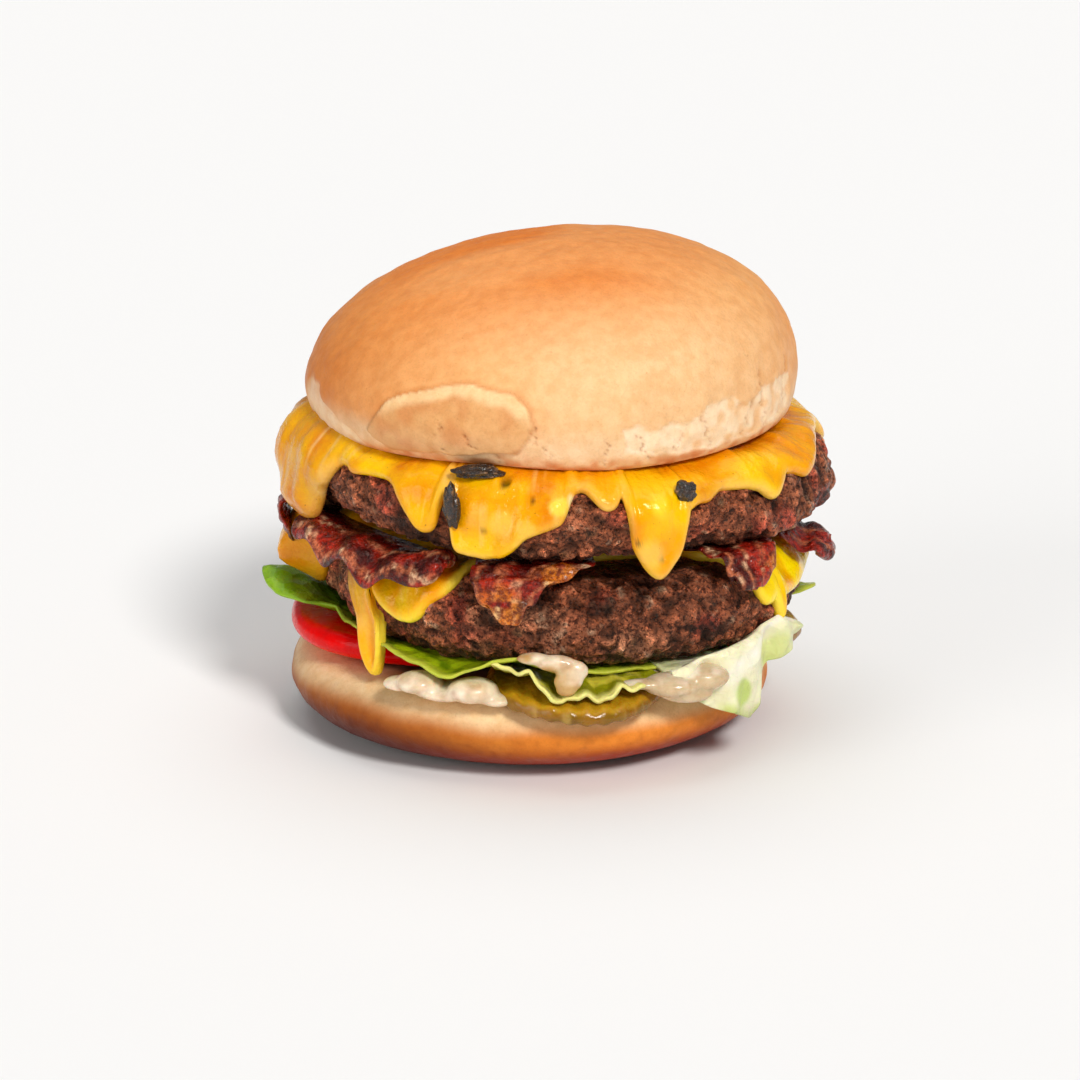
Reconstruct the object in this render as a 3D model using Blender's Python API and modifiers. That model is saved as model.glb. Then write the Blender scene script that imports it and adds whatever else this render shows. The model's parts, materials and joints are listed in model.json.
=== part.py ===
"""A double cheeseburger with bacon, tomato, lettuce and pickles, at its real size.

Metres, +Z up. The burger stands on its lower bun with the front towards -Y. Angles round the
stack are in degrees, counted from +X, so that the front is at 270.
"""

import math

import bmesh
import bpy
import numpy as np
from mathutils import Matrix

MM = 0.001

# Clearance left between two pieces that touch.
GAP = 0.32 * MM

# Lower bun: a squat round with a flat foot and a cut, toasted upper face.
HEEL = {
    "centre": (-5.0 * MM, 0.0),
    "radius": 54.0 * MM,
    "foot_radius": 30.0 * MM,
    "waist": 10.8 * MM,
    "top": 18.3 * MM,
    "edge": 10.0 * MM,
}

# Upper bun: a dome, fuller on its right, on a narrower cut face.
CROWN = {
    "centre": (0.6 * MM, 0.0),
    "base": 72.2 * MM,
    "radius": 54.4 * MM,
    "cut_radius": 50.5 * MM,
    "waist": 7.8 * MM,
    "dome": 29.4 * MM,
    "shear": 5.2 * MM,
    "lean_right": 2.4,
    "lean_front": 0.4,
}

# Patties: thick discs with round, craggy edges. middle is the height of the waist.
PATTY_LOWER = {
    "centre": (2.8 * MM, 0.0),
    "middle": 35.5 * MM,
    "radius": 54.6 * MM,
    "half": 9.3 * MM,
    "edge": 9.0 * MM,
    "lean_right": -0.9,
    "lean_front": 0.0,
    "seed": 3,
}
PATTY_UPPER = {
    "centre": (3.5 * MM, 0.0),
    "middle": 60.0 * MM,
    "radius": 58.2 * MM,
    "half": 8.8 * MM,
    "edge": 10.8 * MM,
    "lean_right": -0.9,
    "lean_front": 0.0,
    "seed": 11,
}

# Melted cheese. hem is (angle, drop below the patty's top in mm) round the sheet, where a drop below
# zero leaves that much of the flat top bare. drift is (angle, sideways run in degrees for each mm of
# drop), and each bulge is (angle, half width in degrees, extra thickness of the rim in mm).
CHEESE_THICKNESS = 1.8 * MM
CHEESE_SUNK = 0.7 * MM
CHEESE_UPPER = {
    "patty": PATTY_UPPER,
    "seed": 23,
    "bulges": ((186, 30, 3.8),),
    "drift": ((0, 0.0), (360, 0.0)),
    "hem": (
        (5, 5.0), (9, 8.5), (14, 9.5), (19, 8.0), (23, 4.4), (28, 5.0), (32, 11.0), (38, 16.0),
        (43, 13.0), (48, 6.0), (54, 4.0), (58, 7.0), (63, 8.0), (68, 4.6), (74, 5.4), (78, 14.0),
        (84, 20.0), (89, 17.0), (93, 8.0), (99, 4.0), (105, 8.4), (110, 9.0), (116, 4.6),
        (121, 7.0), (126, 14.0), (132, 17.0), (138, 13.0), (143, 5.4), (150, 5.0), (155, 10.0),
        (160, 11.0), (166, 8.0), (172, 12.0), (178, 15.6), (184, 18.0), (190, 19.8), (197, 19.8),
        (201.5, 18.4), (204, 14.0), (206, 11.0), (209, 8.0), (211, 5.4), (212.5, 4.0),
        (215.5, 4.0), (218, 4.8), (224, 4.0), (228, 4.0), (231, 4.8), (233, 6.6), (235, 9.0),
        (237, 11.7), (239.3, 12.9), (241.3, 12.2), (242.4, 9.6), (243.1, 4.2), (244.2, 3.0),
        (244.9, 6.4), (245.2, 11.5), (245.6, 14.4), (247, 15.8), (250, 16.3), (253.5, 16.4),
        (257, 15.8), (259.5, 13.9), (261.5, 11.3), (264, 10.1), (267, 9.0), (269.3, 7.8),
        (270.3, 5.2), (271.2, 2.8), (273.5, 2.2), (275, 3.4), (276.5, 5.0), (278.3, 5.8),
        (280.3, 5.2), (281.6, 3.4), (282.2, 1.6), (282.8, 5.0), (283.2, 11.0), (284, 14.6),
        (285, 18.0), (286.7, 19.6), (288.7, 21.4), (290.5, 20.0), (292.5, 17.0), (294.3, 14.3),
        (295, 12.0), (295.5, 8.6), (296.9, 6.5), (298.8, 5.6), (301.5, 5.5), (303.6, 4.5),
        (305.5, 3.6), (309, 4.0), (313, 4.5), (316, 5.4), (317.3, 7.0), (318.8, 8.0), (320.6, 7.4),
        (322.6, 5.8), (325, 4.0), (328, 4.6), (331.5, 5.6), (336, 4.6), (341, 3.6), (347, 4.0),
        (353, 5.2),
    ),
}
CHEESE_LOWER = {
    "patty": PATTY_LOWER,
    "seed": 31,
    "bulges": ((186, 22, 8.6),),
    "drift": ((190, 0.0), (207, 0.1), (208, 0.7), (217, 0.62), (221, 0.1), (240, 0.0)),
    "hem": (
        (4, 1.6), (9, 5.0), (16, 7.0), (23, 4.6), (28, 2.0), (33, 8.0), (41, 13.0), (48, 9.0),
        (54, 2.2), (60, 2.6), (66, 4.5), (72, 2.4), (79, 6.0), (88, 11.0), (96, 6.6), (103, 1.6),
        (112, 4.0), (120, 1.8), (126, 9.0), (134, 14.5), (142, 9.0), (148, 2.0), (155, 4.4),
        (161, 6.0), (168, 5.0), (175, 8.6), (182, 12.4), (187, 14.0), (190, 11.0), (191.6, 5.6),
        (194, 3.4), (200, 2.8), (206.6, 2.0), (207.8, 4.0), (208.4, 15.0), (209.6, 21.0),
        (211.6, 24.6), (214, 25.8), (216, 24.6), (217, 20.0), (217.8, 11.0), (218.6, 5.4),
        (219.6, 5.2), (220.8, 7.0), (223.4, 8.7), (226.6, 10.2), (230, 11.2), (233.4, 10.8),
        (235.8, 9.6), (237.4, 7.4), (238.8, 5.6), (241.4, 4.2), (243.4, 1.8), (246, -2.0),
        (252, -7.0), (262, -8.0), (274, -5.0), (280, -2.0), (288, -7.0), (306, -7.0), (312, -1.0),
        (315.5, 1.2), (317.4, 3.4), (318.2, 6.8), (319.6, 8.3), (321.8, 8.6), (324.2, 8.0),
        (324.8, 12.2), (326, 13.2), (327.2, 12.4), (327.8, 8.4), (332, 8.5), (337, 8.6),
        (344, 8.0), (352, 6.6), (358, 3.4),
    ),
}

# Fillings that lie on the lower bun.
TOMATO = {
    "centre": (-26.0 * MM, 0.0),
    "middle": 22.5 * MM,
    "radius": 33.0 * MM,
    "half": 2.7 * MM,
    "edge": 2.4 * MM,
    "lean_right": -2.0,
}
PICKLE_THICKNESS = 3.4 * MM
PICKLE_LEVEL = 20.4 * MM
# A pickle bends past this distance from the lower bun's middle, by its bend per metre squared.
SHOULDER_START = 43.0 * MM
PICKLE_FRONT = {"centre": (5.2 * MM, -41.4 * MM), "radius": 19.0 * MM, "bend": 8.0, "seed": 51}
PICKLE_RIGHT = {"centre": (41.0 * MM, -3.0 * MM), "radius": 16.0 * MM, "bend": 20.0, "seed": 52}

# The whole leaf. tips are (angle, half width in degrees, reach in mm), and rim_lift is
# (angle, how far the rim stands above the middle of the leaf in mm).
LEAF = {
    "level": 25.55 * MM,
    "fall_right": 0.0157,
    "thickness": 0.6 * MM,
    "reach": 50.5,
    "seed": 41,
    "tips": ((185, 13, 64.6), (250, 26, 56.8), (10, 9, 61.5), (80, 20, 55.0), (135, 16, 56.5)),
    "rim_lift": (
        (10, 1.6), (40, -1.2), (80, 1.5), (110, -1.0), (135, 1.6), (160, 0.4), (174, 5.4),
        (183, 7.2), (193, 4.4), (205, 1.6), (218, 1.0), (229, 2.6), (238, 0.2), (245, -0.6),
        (254, 1.6), (263, 4.0), (272, 1.8), (281, -0.8), (290, -0.6), (310, -0.4), (350, 0.3),
    ),
}

# The crisp leaf that folds over the right shoulder. reach is (angle, distance from the axis in mm) of
# its outer part, and crest and hem are (angle, height in mm) of its upper and lower edge there.
CRISP = {
    "thickness": 0.8 * MM,
    "from": 297.0,
    "to": 337.0,
    "inner": 40.0,
    "inner_level": 24.6,
    "reach": ((297, 57.4), (310, 59.6), (322, 60.2), (337, 60.4)),
    "crest": (
        (297, 25.6), (303, 27.2), (310, 28.8), (316, 29.8), (321, 31.8), (326, 32.3), (331, 30.4),
        (337, 27.4),
    ),
    "hem": (
        (297, 22.0), (300, 19.8), (307, 16.4), (313, 13.0), (317.5, 11.8), (320.6, 14.0),
        (321.8, 19.4), (324, 22.4), (328, 24.0), (333, 25.6), (337, 26.2),
    ),
}

# The ruffled leaf end between the front pickle and the lower patty: rim is (angle, height in mm).
FRILL = {
    "thickness": 0.8 * MM,
    "from": 257.0,
    "to": 296.0,
    "inner": 38.0,
    "level": 23.8,
    "reach": 58.6,
    "rim": (
        (257, 28.6), (261, 26.8), (265, 24.0), (269, 21.6), (277, 21.2), (284, 22.4), (290, 23.4),
        (296, 24.4),
    ),
}

# Bacon. Each knot is one edge and the other edge of the strip, in mm. droop lowers the first edge by
# as much, in mm, and plump is how much thicker the strip is at its start and at its end.
BACON_THICKNESS = 1.7 * MM
BACON_LEFT = {
    "knots": (
        ((-58.4, -16.5, 51.6), (-43.5, -9.5, 48.0)),
        ((-54.6, -22.8, 52.8), (-41.0, -14.5, 48.0)),
        ((-50.2, -30.6, 49.8), (-38.0, -20.5, 48.2)),
        ((-45.4, -37.6, 51.4), (-33.5, -26.5, 48.2)),
        ((-39.6, -44.6, 48.8), (-28.5, -31.5, 48.0)),
        ((-33.0, -50.6, 51.2), (-24.0, -38.0, 48.0)),
        ((-23.4, -55.4, 52.0), (-18.6, -43.0, 48.2)),
    ),
    "droop": 5.6,
    "plump": (0.2, 1.6),
    "wave": 1.1,
    "seed": 71,
}
BACON_FRONT = {
    "knots": (
        ((-9.8, -61.2, 39.8), (-7.0, -61.2, 39.6)),
        ((-13.2, -61.0, 42.8), (-4.6, -61.2, 42.6)),
        ((-16.0, -60.2, 46.4), (-1.8, -60.8, 46.4)),
        ((-17.0, -57.6, 49.4), (4.6, -58.2, 49.8)),
        ((-16.0, -50.0, 49.3), (9.4, -51.5, 49.9)),
        ((-16.0, -38.0, 48.3), (9.0, -38.0, 48.3)),
        ((-16.0, 0.0, 48.0), (8.0, 0.0, 47.8)),
        ((-15.0, 34.0, 48.0), (9.0, 34.0, 47.8)),
        ((-13.5, 50.0, 47.9), (9.0, 51.5, 47.7)),
    ),
    "droop": 0.0,
    "plump": (0.5, 0.0),
    "wave": 0.9,
    "seed": 72,
}
BACON_RIGHT = {
    "knots": (
        ((42.6, -48.0, 41.8), (49.6, -41.4, 42.2)),
        ((38.6, -49.0, 44.8), (51.8, -39.2, 45.4)),
        ((35.6, -47.6, 48.8), (52.0, -35.8, 49.2)),
        ((31.0, -42.6, 50.0), (49.6, -29.4, 49.8)),
        ((27.0, -34.0, 48.3), (47.0, -24.0, 48.2)),
        ((24.0, -16.0, 47.6), (46.0, -12.0, 47.2)),
        ((24.0, 10.0, 47.5), (46.0, 10.0, 47.1)),
        ((25.0, 34.0, 47.5), (45.0, 32.0, 47.1)),
        ((27.5, 47.5, 47.3), (41.5, 45.0, 46.9)),
    ),
    "droop": 0.0,
    "plump": (1.3, 0.0),
    "wave": 0.9,
    "seed": 73,
}
BACON_CROSS = {
    "knots": (
        ((-59.2, 3.0, 42.6), (-57.6, -12.0, 42.0)),
        ((-61.0, 4.5, 46.6), (-59.4, -13.5, 46.6)),
        ((-59.6, 6.0, 50.0), (-60.4, -12.0, 52.2)),
        ((-54.5, 6.5, 50.1), (-54.5, -13.5, 50.8)),
        ((-47.0, 6.5, 49.7), (-47.0, -15.0, 50.0)),
        ((-20.0, 6.0, 49.9), (-20.0, -16.0, 49.9)),
        ((20.0, 5.0, 49.8), (20.0, -18.0, 49.8)),
        ((45.0, 0.0, 49.3), (44.5, -22.0, 49.4)),
        ((52.5, -2.0, 48.2), (51.5, -23.5, 48.0)),
        ((57.6, -3.0, 45.6), (56.4, -23.5, 45.8)),
        ((61.2, -4.0, 43.4), (60.0, -21.5, 43.4)),
        ((63.4, -7.0, 41.8), (62.4, -17.0, 41.8)),
    ),
    "droop": 0.0,
    "plump": (0.4, 1.8),
    "wave": 0.8,
    "seed": 74,
}

# Sauce. Each drop is its centre and its three half sizes, in mm.
SAUCE_LEFT = (
    ((-28.2, -46.6, 21.7), (5.0, 4.8, 2.6)),
    ((-32.6, -44.6, 20.8), (3.6, 3.6, 1.6)),
    ((-16.8, -50.4, 21.3), (5.8, 4.8, 2.9)),
    ((-11.4, -51.6, 19.5), (4.0, 3.2, 1.6)),
    ((-23.0, -46.6, 19.3), (9.5, 6.5, 1.9)),
)
SAUCE_RIGHT = (
    ((26.0, -50.4, 22.6), (6.4, 4.6, 2.5)),
    ((32.6, -47.6, 23.6), (6.0, 4.8, 2.9)),
    ((20.6, -52.4, 23.4), (4.2, 2.4, 1.3)),
    ((29.0, -48.8, 20.4), (6.0, 4.4, 2.0)),
    ((24.0, -44.0, 21.4), (9.0, 6.0, 2.4)),
)
SAUCE_FLAP = (
    ((-5.6, -55.6, 29.6), (3.4, 2.0, 1.2)),
    ((-1.0, -56.4, 28.8), (4.2, 2.2, 1.7)),
    ((3.4, -57.0, 27.4), (3.0, 2.0, 2.3)),
    ((3.0, -57.6, 24.6), (2.2, 1.7, 2.2)),
)
SAUCE_VOXEL = 1.1 * MM
# Share of the faces that a merged sauce keeps.
SAUCE_KEPT = 0.10

# Burnt bits that stick to the cheese: centre and three half sizes, in mm.
CHAR_BITS = {
    "char_left": ((-20.8, -55.4, 63.4), (1.7, 1.9, 5.0), 81),
    "char_middle": ((-13.6, -51.8, 70.6), (7.2, 2.8, 1.5), 82),
    "char_right": ((28.5, -52.8, 66.3), (2.3, 2.0, 2.3), 83),
}

# A cheese mesh has its columns this much closer together at the front than on average.
FRONT_SHARE = 0.5


def clear_scene():
    for old in list(bpy.data.objects):
        bpy.data.objects.remove(old)


def hashed(cells, seed):
    """A repeatable number from -1 to 1 for each lattice cell."""
    mixed = cells[:, 0] * 73856093 ^ cells[:, 1] * 19349663 ^ cells[:, 2] * 83492791
    mixed = (mixed ^ (seed * 2654435761)) & 0x7FFFFFFF
    mixed = ((mixed ^ (mixed >> 13)) * 1274126177) & 0x7FFFFFFF
    return ((mixed ^ (mixed >> 16)) & 0xFFFF) / 32767.5 - 1.0


def lumps(points, size, seed):
    """Smooth unevenness from -1 to 1, with bumps about as wide as size."""
    grid = points / size + seed * 17.31
    cell = np.floor(grid).astype(np.int64)
    part = grid - cell
    part = part * part * (3 - 2 * part)
    total = np.zeros(len(points))
    for corner in np.ndindex(2, 2, 2):
        weight = np.prod(np.where(corner, part, 1 - part), axis=1)
        total += weight * hashed(cell + np.array(corner), seed)
    return total


def smooth(low, high, value):
    """0 below low, 1 above high and an even slope between them."""
    share = np.clip((value - low) / (high - low), 0, 1)
    return share * share * (3 - 2 * share)


def turned_away(angle, other):
    """Degrees between two directions, from 0 to 180."""
    return np.abs((angle - other + 180) % 360 - 180)


def round_table(table, theta):
    """Reads (angle, value) rows at each angle, evenly in between and round past 360."""
    angles, values = zip(*table)
    return np.interp(theta % 360, angles, values, period=360)


def leaning(layer, points, height):
    """Tips points about the layer's centre: lean_right lifts +X, and lean_front lowers -Y."""
    right = math.radians(layer.get("lean_right", 0))
    front = math.radians(layer.get("lean_front", 0))
    pivot = np.array([*layer["centre"], height])
    turn = Matrix.Rotation(front, 3, "X") @ Matrix.Rotation(-right, 3, "Y")
    return (points - pivot) @ np.array(turn).T + pivot


def outwards(theta):
    turn = np.radians(theta)
    return np.stack([np.cos(turn), np.sin(turn)], axis=1)


def disc_outline(radius, half, edge, share):
    """Radius, height and outward slope down the side of a thick disc with round edges.

    share is 0 at the middle of the top, 1 at the middle of the underside.
    """
    flat = 0.2
    inner = radius - edge
    phi = math.pi * (0.5 - np.clip((share - flat) / (1 - 2 * flat), 0, 1))
    reach = inner + edge * np.cos(phi)
    reach = np.where(share < flat, inner * share / flat, reach)
    reach = np.where(share > 1 - flat, inner * (1 - share) / flat, reach)
    return reach, half * np.sin(phi), phi


def crags(patty, points, phi):
    """How far a patty's surface stands out at each point: rough at the side, calm on its faces."""
    local = points - np.array([*patty["centre"], patty["middle"]])
    seed = patty["seed"]
    rough = 1.5 * lumps(local, 19 * MM, seed) + 0.9 * lumps(local, 9.5 * MM, seed + 1)
    return MM * rough * (0.16 + 0.84 * np.clip(np.cos(phi), 0, 1) ** 0.7)


def patty_points(patty, theta, share):
    """The patty's surface; theta is in degrees."""
    turn = np.radians(theta)
    reach, height, phi = disc_outline(patty["radius"], patty["half"], patty["edge"], share)
    out = np.stack([np.cos(turn), np.sin(turn)], axis=1)
    points = np.empty((len(turn), 3))
    points[:, :2] = np.array(patty["centre"]) + out * reach[:, None]
    points[:, 2] = patty["middle"] + height
    stand = crags(patty, points, phi)
    points[:, :2] += out * (np.cos(phi) * stand)[:, None]
    points[:, 2] += np.sin(phi) * stand
    return leaning(patty, points, patty["middle"])


def hang(cheese, theta):
    """How far below the patty's top the sheet reaches at each angle."""
    ring = np.column_stack([outwards(theta), 0 * theta]) * cheese["patty"]["radius"]
    uneven = 0.35 * lumps(ring, 2.4 * MM, cheese["seed"])
    drop = round_table(cheese["hem"], theta + 0.25 * uneven)
    return MM * drop * (1 + 0.05 * uneven)


def bulging(cheese, theta):
    """Extra thickness of the sheet's rim at each angle."""
    extra = 0 * theta
    for angle, width, height in cheese["bulges"]:
        extra += height * MM * np.clip(1 - (turned_away(theta, angle) / width) ** 2, 0, 1)
    return extra


def draped(patty, length):
    """Radius, height and slope of a sheet that lies on a patty and then hangs straight down.

    length is measured along the sheet from the patty's axis.
    """
    inner = patty["radius"] - patty["edge"]
    quarter = 0.25 * math.pi * (patty["edge"] + patty["half"])
    phi = 0.5 * math.pi * (1 - np.clip((length - inner) / quarter, 0, 1))
    reach = np.where(length < inner, length, inner + patty["edge"] * np.cos(phi))
    below = np.clip(length - inner - quarter, 0, None)
    return reach, patty["half"] * np.sin(phi) - below, phi


def draped_length(patty, drop):
    """Length along the sheet, from the axis, that brings it drop below the patty's top."""
    inner = patty["radius"] - patty["edge"]
    quarter = 0.25 * math.pi * (patty["edge"] + patty["half"])
    share = np.clip(1 - drop / patty["half"], 0, 1)
    round_part = quarter * (1 - 2 / math.pi * np.arcsin(share))
    return inner + round_part + np.clip(drop - patty["half"], 0, None) + np.minimum(drop, 0)


def cheese_points(cheese, theta, down):
    """The skin of the sheet: down is 0 in the middle of its upper side, 0.5 at its rim and 1 below."""
    patty = cheese["patty"]
    full = draped_length(patty, hang(cheese, theta))
    ahead = draped_length(patty, hang(cheese, theta + 0.8))
    behind = draped_length(patty, hang(cheese, theta - 0.8))
    slope = (ahead - behind) / (math.radians(1.6) * patty["radius"])
    inner = patty["radius"] - patty["edge"]
    side = 1 - np.abs(2 * down - 1)
    past_flat = (full - inner) * (1 - (1 - np.clip(side / 0.8 - 0.25, 0, 1)) ** 1.6)
    length = np.where(side < 0.2, inner * side / 0.2, inner + past_flat)
    from_edge = (full - length) / np.sqrt(1 + slope**2)
    bead = CHEESE_THICKNESS * (1 + 0.35 * np.exp(-((from_edge / (2.0 * MM) - 1) ** 2)))
    round_rim = np.sqrt(1 - (1 - np.clip(from_edge / (1.1 * MM), 0, 1)) ** 2)
    middle = 0.3 * bead
    above = middle + (bead - middle) * round_rim
    lift = np.where(down <= 0.5, above, middle - (middle + CHEESE_SUNK) * round_rim)
    reach, height, phi = draped(patty, length)
    past_flat = length - inner
    bulge = bulging(cheese, theta) * smooth(-6 * MM, 6 * MM, past_flat) * smooth(0, 6 * MM, from_edge)
    lift = np.where(down <= 0.5, lift + bulge, lift)
    run = np.clip(past_flat / MM - 5, 0, 12)
    out = outwards(theta + round_table(cheese["drift"], theta) * run)
    points = np.empty((len(theta), 3))
    points[:, :2] = np.array(patty["centre"]) + out * reach[:, None]
    points[:, 2] = patty["middle"] + height
    stand = crags(patty, points, phi) + lift
    points[:, :2] += out * (np.cos(phi) * stand)[:, None]
    points[:, 2] += np.sin(phi) * stand
    return leaning(patty, points, patty["middle"])


def heel_points(theta, share):
    """The lower bun's surface."""
    turn = np.radians(theta)
    upper = HEEL["top"] - HEEL["waist"]
    reach, height, phi = disc_outline(HEEL["radius"], upper, HEEL["edge"], share)
    below = phi < 0
    foot = HEEL["radius"] - HEEL["foot_radius"]
    reach = np.where(below, HEEL["foot_radius"] + foot * np.cos(phi), reach)
    reach = np.where(share > 0.8, HEEL["foot_radius"] * (1 - share) / 0.2, reach)
    height = np.where(below, HEEL["waist"] * np.sin(phi), height)
    out = np.stack([np.cos(turn), np.sin(turn)], axis=1)
    points = np.empty((len(turn), 3))
    points[:, :2] = np.array(HEEL["centre"]) + out * reach[:, None]
    points[:, 2] = HEEL["waist"] + height
    swell = MM * (0.9 * lumps(points, 34 * MM, 5) + 0.35 * lumps(points, 12 * MM, 6))
    points[:, :2] += out * (swell * np.clip(np.cos(phi), 0, 1))[:, None]
    return points


def crown_points(theta, share):
    """The upper bun's surface: share is 0 at the top of the dome, 1 at the middle of the cut face."""
    turn = np.radians(theta)
    dome, under = 0.62, 0.82
    rise = np.clip(share / dome, 0, 1)
    up = np.cos(0.5 * math.pi * rise)
    reach = CROWN["radius"] * np.sin(0.5 * math.pi * rise)
    height = CROWN["waist"] + CROWN["dome"] * up
    curl = np.clip((share - dome) / (under - dome), 0, 1)
    tuck = CROWN["radius"] - CROWN["cut_radius"]
    low_reach = CROWN["cut_radius"] + tuck * np.cos(0.5 * math.pi * curl)
    low_height = CROWN["waist"] * (1 - np.sin(0.5 * math.pi * curl))
    reach = np.where(share > dome, low_reach, reach)
    height = np.where(share > dome, low_height, height)
    flat = share > under
    reach = np.where(flat, CROWN["cut_radius"] * (1 - share) / (1 - under), reach)
    height = np.where(flat, 0, height)
    out = np.stack([np.cos(turn), np.sin(turn)], axis=1)
    points = np.empty((len(turn), 3))
    points[:, :2] = np.array(CROWN["centre"]) + out * reach[:, None]
    points[:, 0] += CROWN["shear"] * np.where(share > dome, 0, up) ** 1.7
    points[:, 2] = CROWN["base"] + height
    swell = MM * (0.8 * lumps(points, 36 * MM, 8) + 0.4 * lumps(points, 13 * MM, 9))
    side = smooth(0.05, 0.5, share) * (1 - smooth(under - 0.05, under, share))
    points[:, :2] += out * (swell * side)[:, None]
    return leaning(CROWN, points, CROWN["base"])


def tomato_points(theta, share):
    """A thick slice with a rounded skin edge."""
    turn = np.radians(theta)
    reach, height, _ = disc_outline(TOMATO["radius"], TOMATO["half"], TOMATO["edge"], share)
    out = np.stack([np.cos(turn), np.sin(turn)], axis=1)
    points = np.empty((len(turn), 3))
    uneven = 1 + 0.018 * np.cos(3 * turn + 0.7) + 0.012 * np.cos(5 * turn)
    points[:, :2] = np.array(TOMATO["centre"]) + out * (reach * uneven)[:, None]
    points[:, 2] = TOMATO["middle"] + height
    return leaning(TOMATO, points, TOMATO["middle"])


def pickle_points(pickle, theta, share):
    """A slice that lies on the lower bun and bends down over its shoulder."""
    turn = np.radians(theta)
    half = 0.5 * PICKLE_THICKNESS
    reach, height, _ = disc_outline(pickle["radius"], half, half, share)
    out = np.stack([np.cos(turn), np.sin(turn)], axis=1)
    points = np.empty((len(turn), 3))
    uneven = 1 + 0.02 * np.cos(2 * turn + pickle["seed"]) + 0.012 * np.cos(5 * turn)
    points[:, :2] = np.array(pickle["centre"]) + out * (reach * uneven)[:, None]
    from_middle = points[:, :2] - np.array(HEEL["centre"])
    beyond = np.clip(np.hypot(from_middle[:, 0], from_middle[:, 1]) - SHOULDER_START, 0, None)
    points[:, 2] = PICKLE_LEVEL + height - pickle["bend"] * beyond**2
    return points


def leaf_reach(theta):
    """How far the whole leaf reaches from its middle at each angle."""
    turn = np.radians(theta)
    ring = np.stack([np.cos(turn), np.sin(turn), 0 * turn], axis=1) * 50 * MM
    reach = LEAF["reach"] + 1.4 * lumps(ring, 14 * MM, LEAF["seed"])
    for angle, width, tip in LEAF["tips"]:
        away = turned_away(theta, angle) / width
        bulge = LEAF["reach"] + (tip - LEAF["reach"]) * np.sqrt(np.clip(1 - away**2, 0, 1))
        reach = np.where(away < 1, np.maximum(reach, bulge), reach)
    return reach * MM


def leaf_points(theta, share):
    """The middle surface of the whole leaf: flat under the patty and curled at its rim."""
    turn = np.radians(theta)
    radius = leaf_reach(theta) * share
    points = np.empty((len(turn), 3))
    points[:, :2] = outwards(theta) * radius[:, None]
    rim = smooth(43 * MM, 60 * MM, radius)
    rise = MM * round_table(LEAF["rim_lift"], theta) / smooth(43, 60, leaf_reach(theta) / MM)
    ruffle = 0.8 * MM * np.sin(14 * turn + 1.3 * np.sin(3 * turn))
    points[:, 2] = LEAF["level"] - LEAF["fall_right"] * points[:, 0] + rim * (rise + ruffle)
    return points


def crisp_points(across, down):
    """The middle surface of the crisp leaf: across runs round the burger, down from inside to hem."""
    theta = CRISP["from"] + (CRISP["to"] - CRISP["from"]) * across
    crest = round_table(CRISP["crest"], theta)
    hem = round_table(CRISP["hem"], theta)
    outer_reach = round_table(CRISP["reach"], theta)
    inside = 0 * theta
    steps = (0.0, 0.3, 0.42, 0.5, 0.6, 1.0)
    steps_out = (-2.4, -0.6, 0.0, -0.8)
    radii = [CRISP["inner"] + inside, 51.0 + inside] + [outer_reach + step for step in steps_out]
    flat = CRISP["inner_level"]
    heights = (flat + inside, flat + 0.3 + inside, crest - 1.6, crest, crest - 0.8, hem)
    reach = sum_of_tents(down, steps, radii)
    height = sum_of_tents(down, steps, heights)
    outer = smooth(0.4, 0.7, down)
    fold = np.sin(across * 15 + 2.2 * down) + 0.6 * np.sin(across * 29 - 3 * down + 1)
    reach = reach + outer * 0.9 * fold
    height = height + 0.4 * outer * np.cos(across * 23 + 4 * down)
    return MM * np.column_stack([outwards(theta) * reach[:, None], height])


def frill_points(across, down):
    """The middle surface of the ruffled leaf end: down runs outwards here."""
    theta = FRILL["from"] + (FRILL["to"] - FRILL["from"]) * across
    side = 1 - np.abs(2 * across - 1) ** 4
    reach = FRILL["inner"] + (FRILL["reach"] * (0.95 + 0.05 * side) - FRILL["inner"]) * down
    rim = down**2.4
    height = FRILL["level"] + (round_table(FRILL["rim"], theta) - FRILL["level"]) * rim
    ruffle = 0.8 * np.sin(across * 38) + 0.5 * np.sin(across * 61 + 1)
    height = height + rim * ruffle
    reach = reach + 0.5 * rim * np.cos(across * 38)
    return MM * np.column_stack([outwards(theta) * reach[:, None], height])


def sum_of_tents(where, steps, values):
    """Straight lines between rows of values that stand at the given steps."""
    total = 0 * where
    for i, value in enumerate(values):
        before = steps[i - 1] if i else steps[i] - 1
        after = steps[i + 1] if i + 1 < len(steps) else steps[i] + 1
        rising = (where - before) / (steps[i] - before)
        falling = (after - where) / (after - steps[i])
        total = total + value * np.clip(np.minimum(rising, falling), 0, 1)
    return total


def through(knots, along):
    """A smooth curve through equally spaced points; along runs from 0 to 1."""
    knots = np.array(knots)
    spot = np.clip(along, 0, 1) * (len(knots) - 1)
    first = np.clip(np.floor(spot).astype(int), 0, len(knots) - 2)
    part = (spot - first)[:, None]
    before = knots[np.clip(first - 1, 0, None)]
    start, end = knots[first], knots[first + 1]
    after = knots[np.clip(first + 2, None, len(knots) - 1)]
    leave, arrive = 0.5 * (end - before), 0.5 * (after - start)
    cube, square = part**3, part**2
    point = (2 * cube - 3 * square + 1) * start + (3 * square - 2 * cube) * end
    return point + (cube - 2 * square + part) * leave + (cube - square) * arrive


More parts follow.
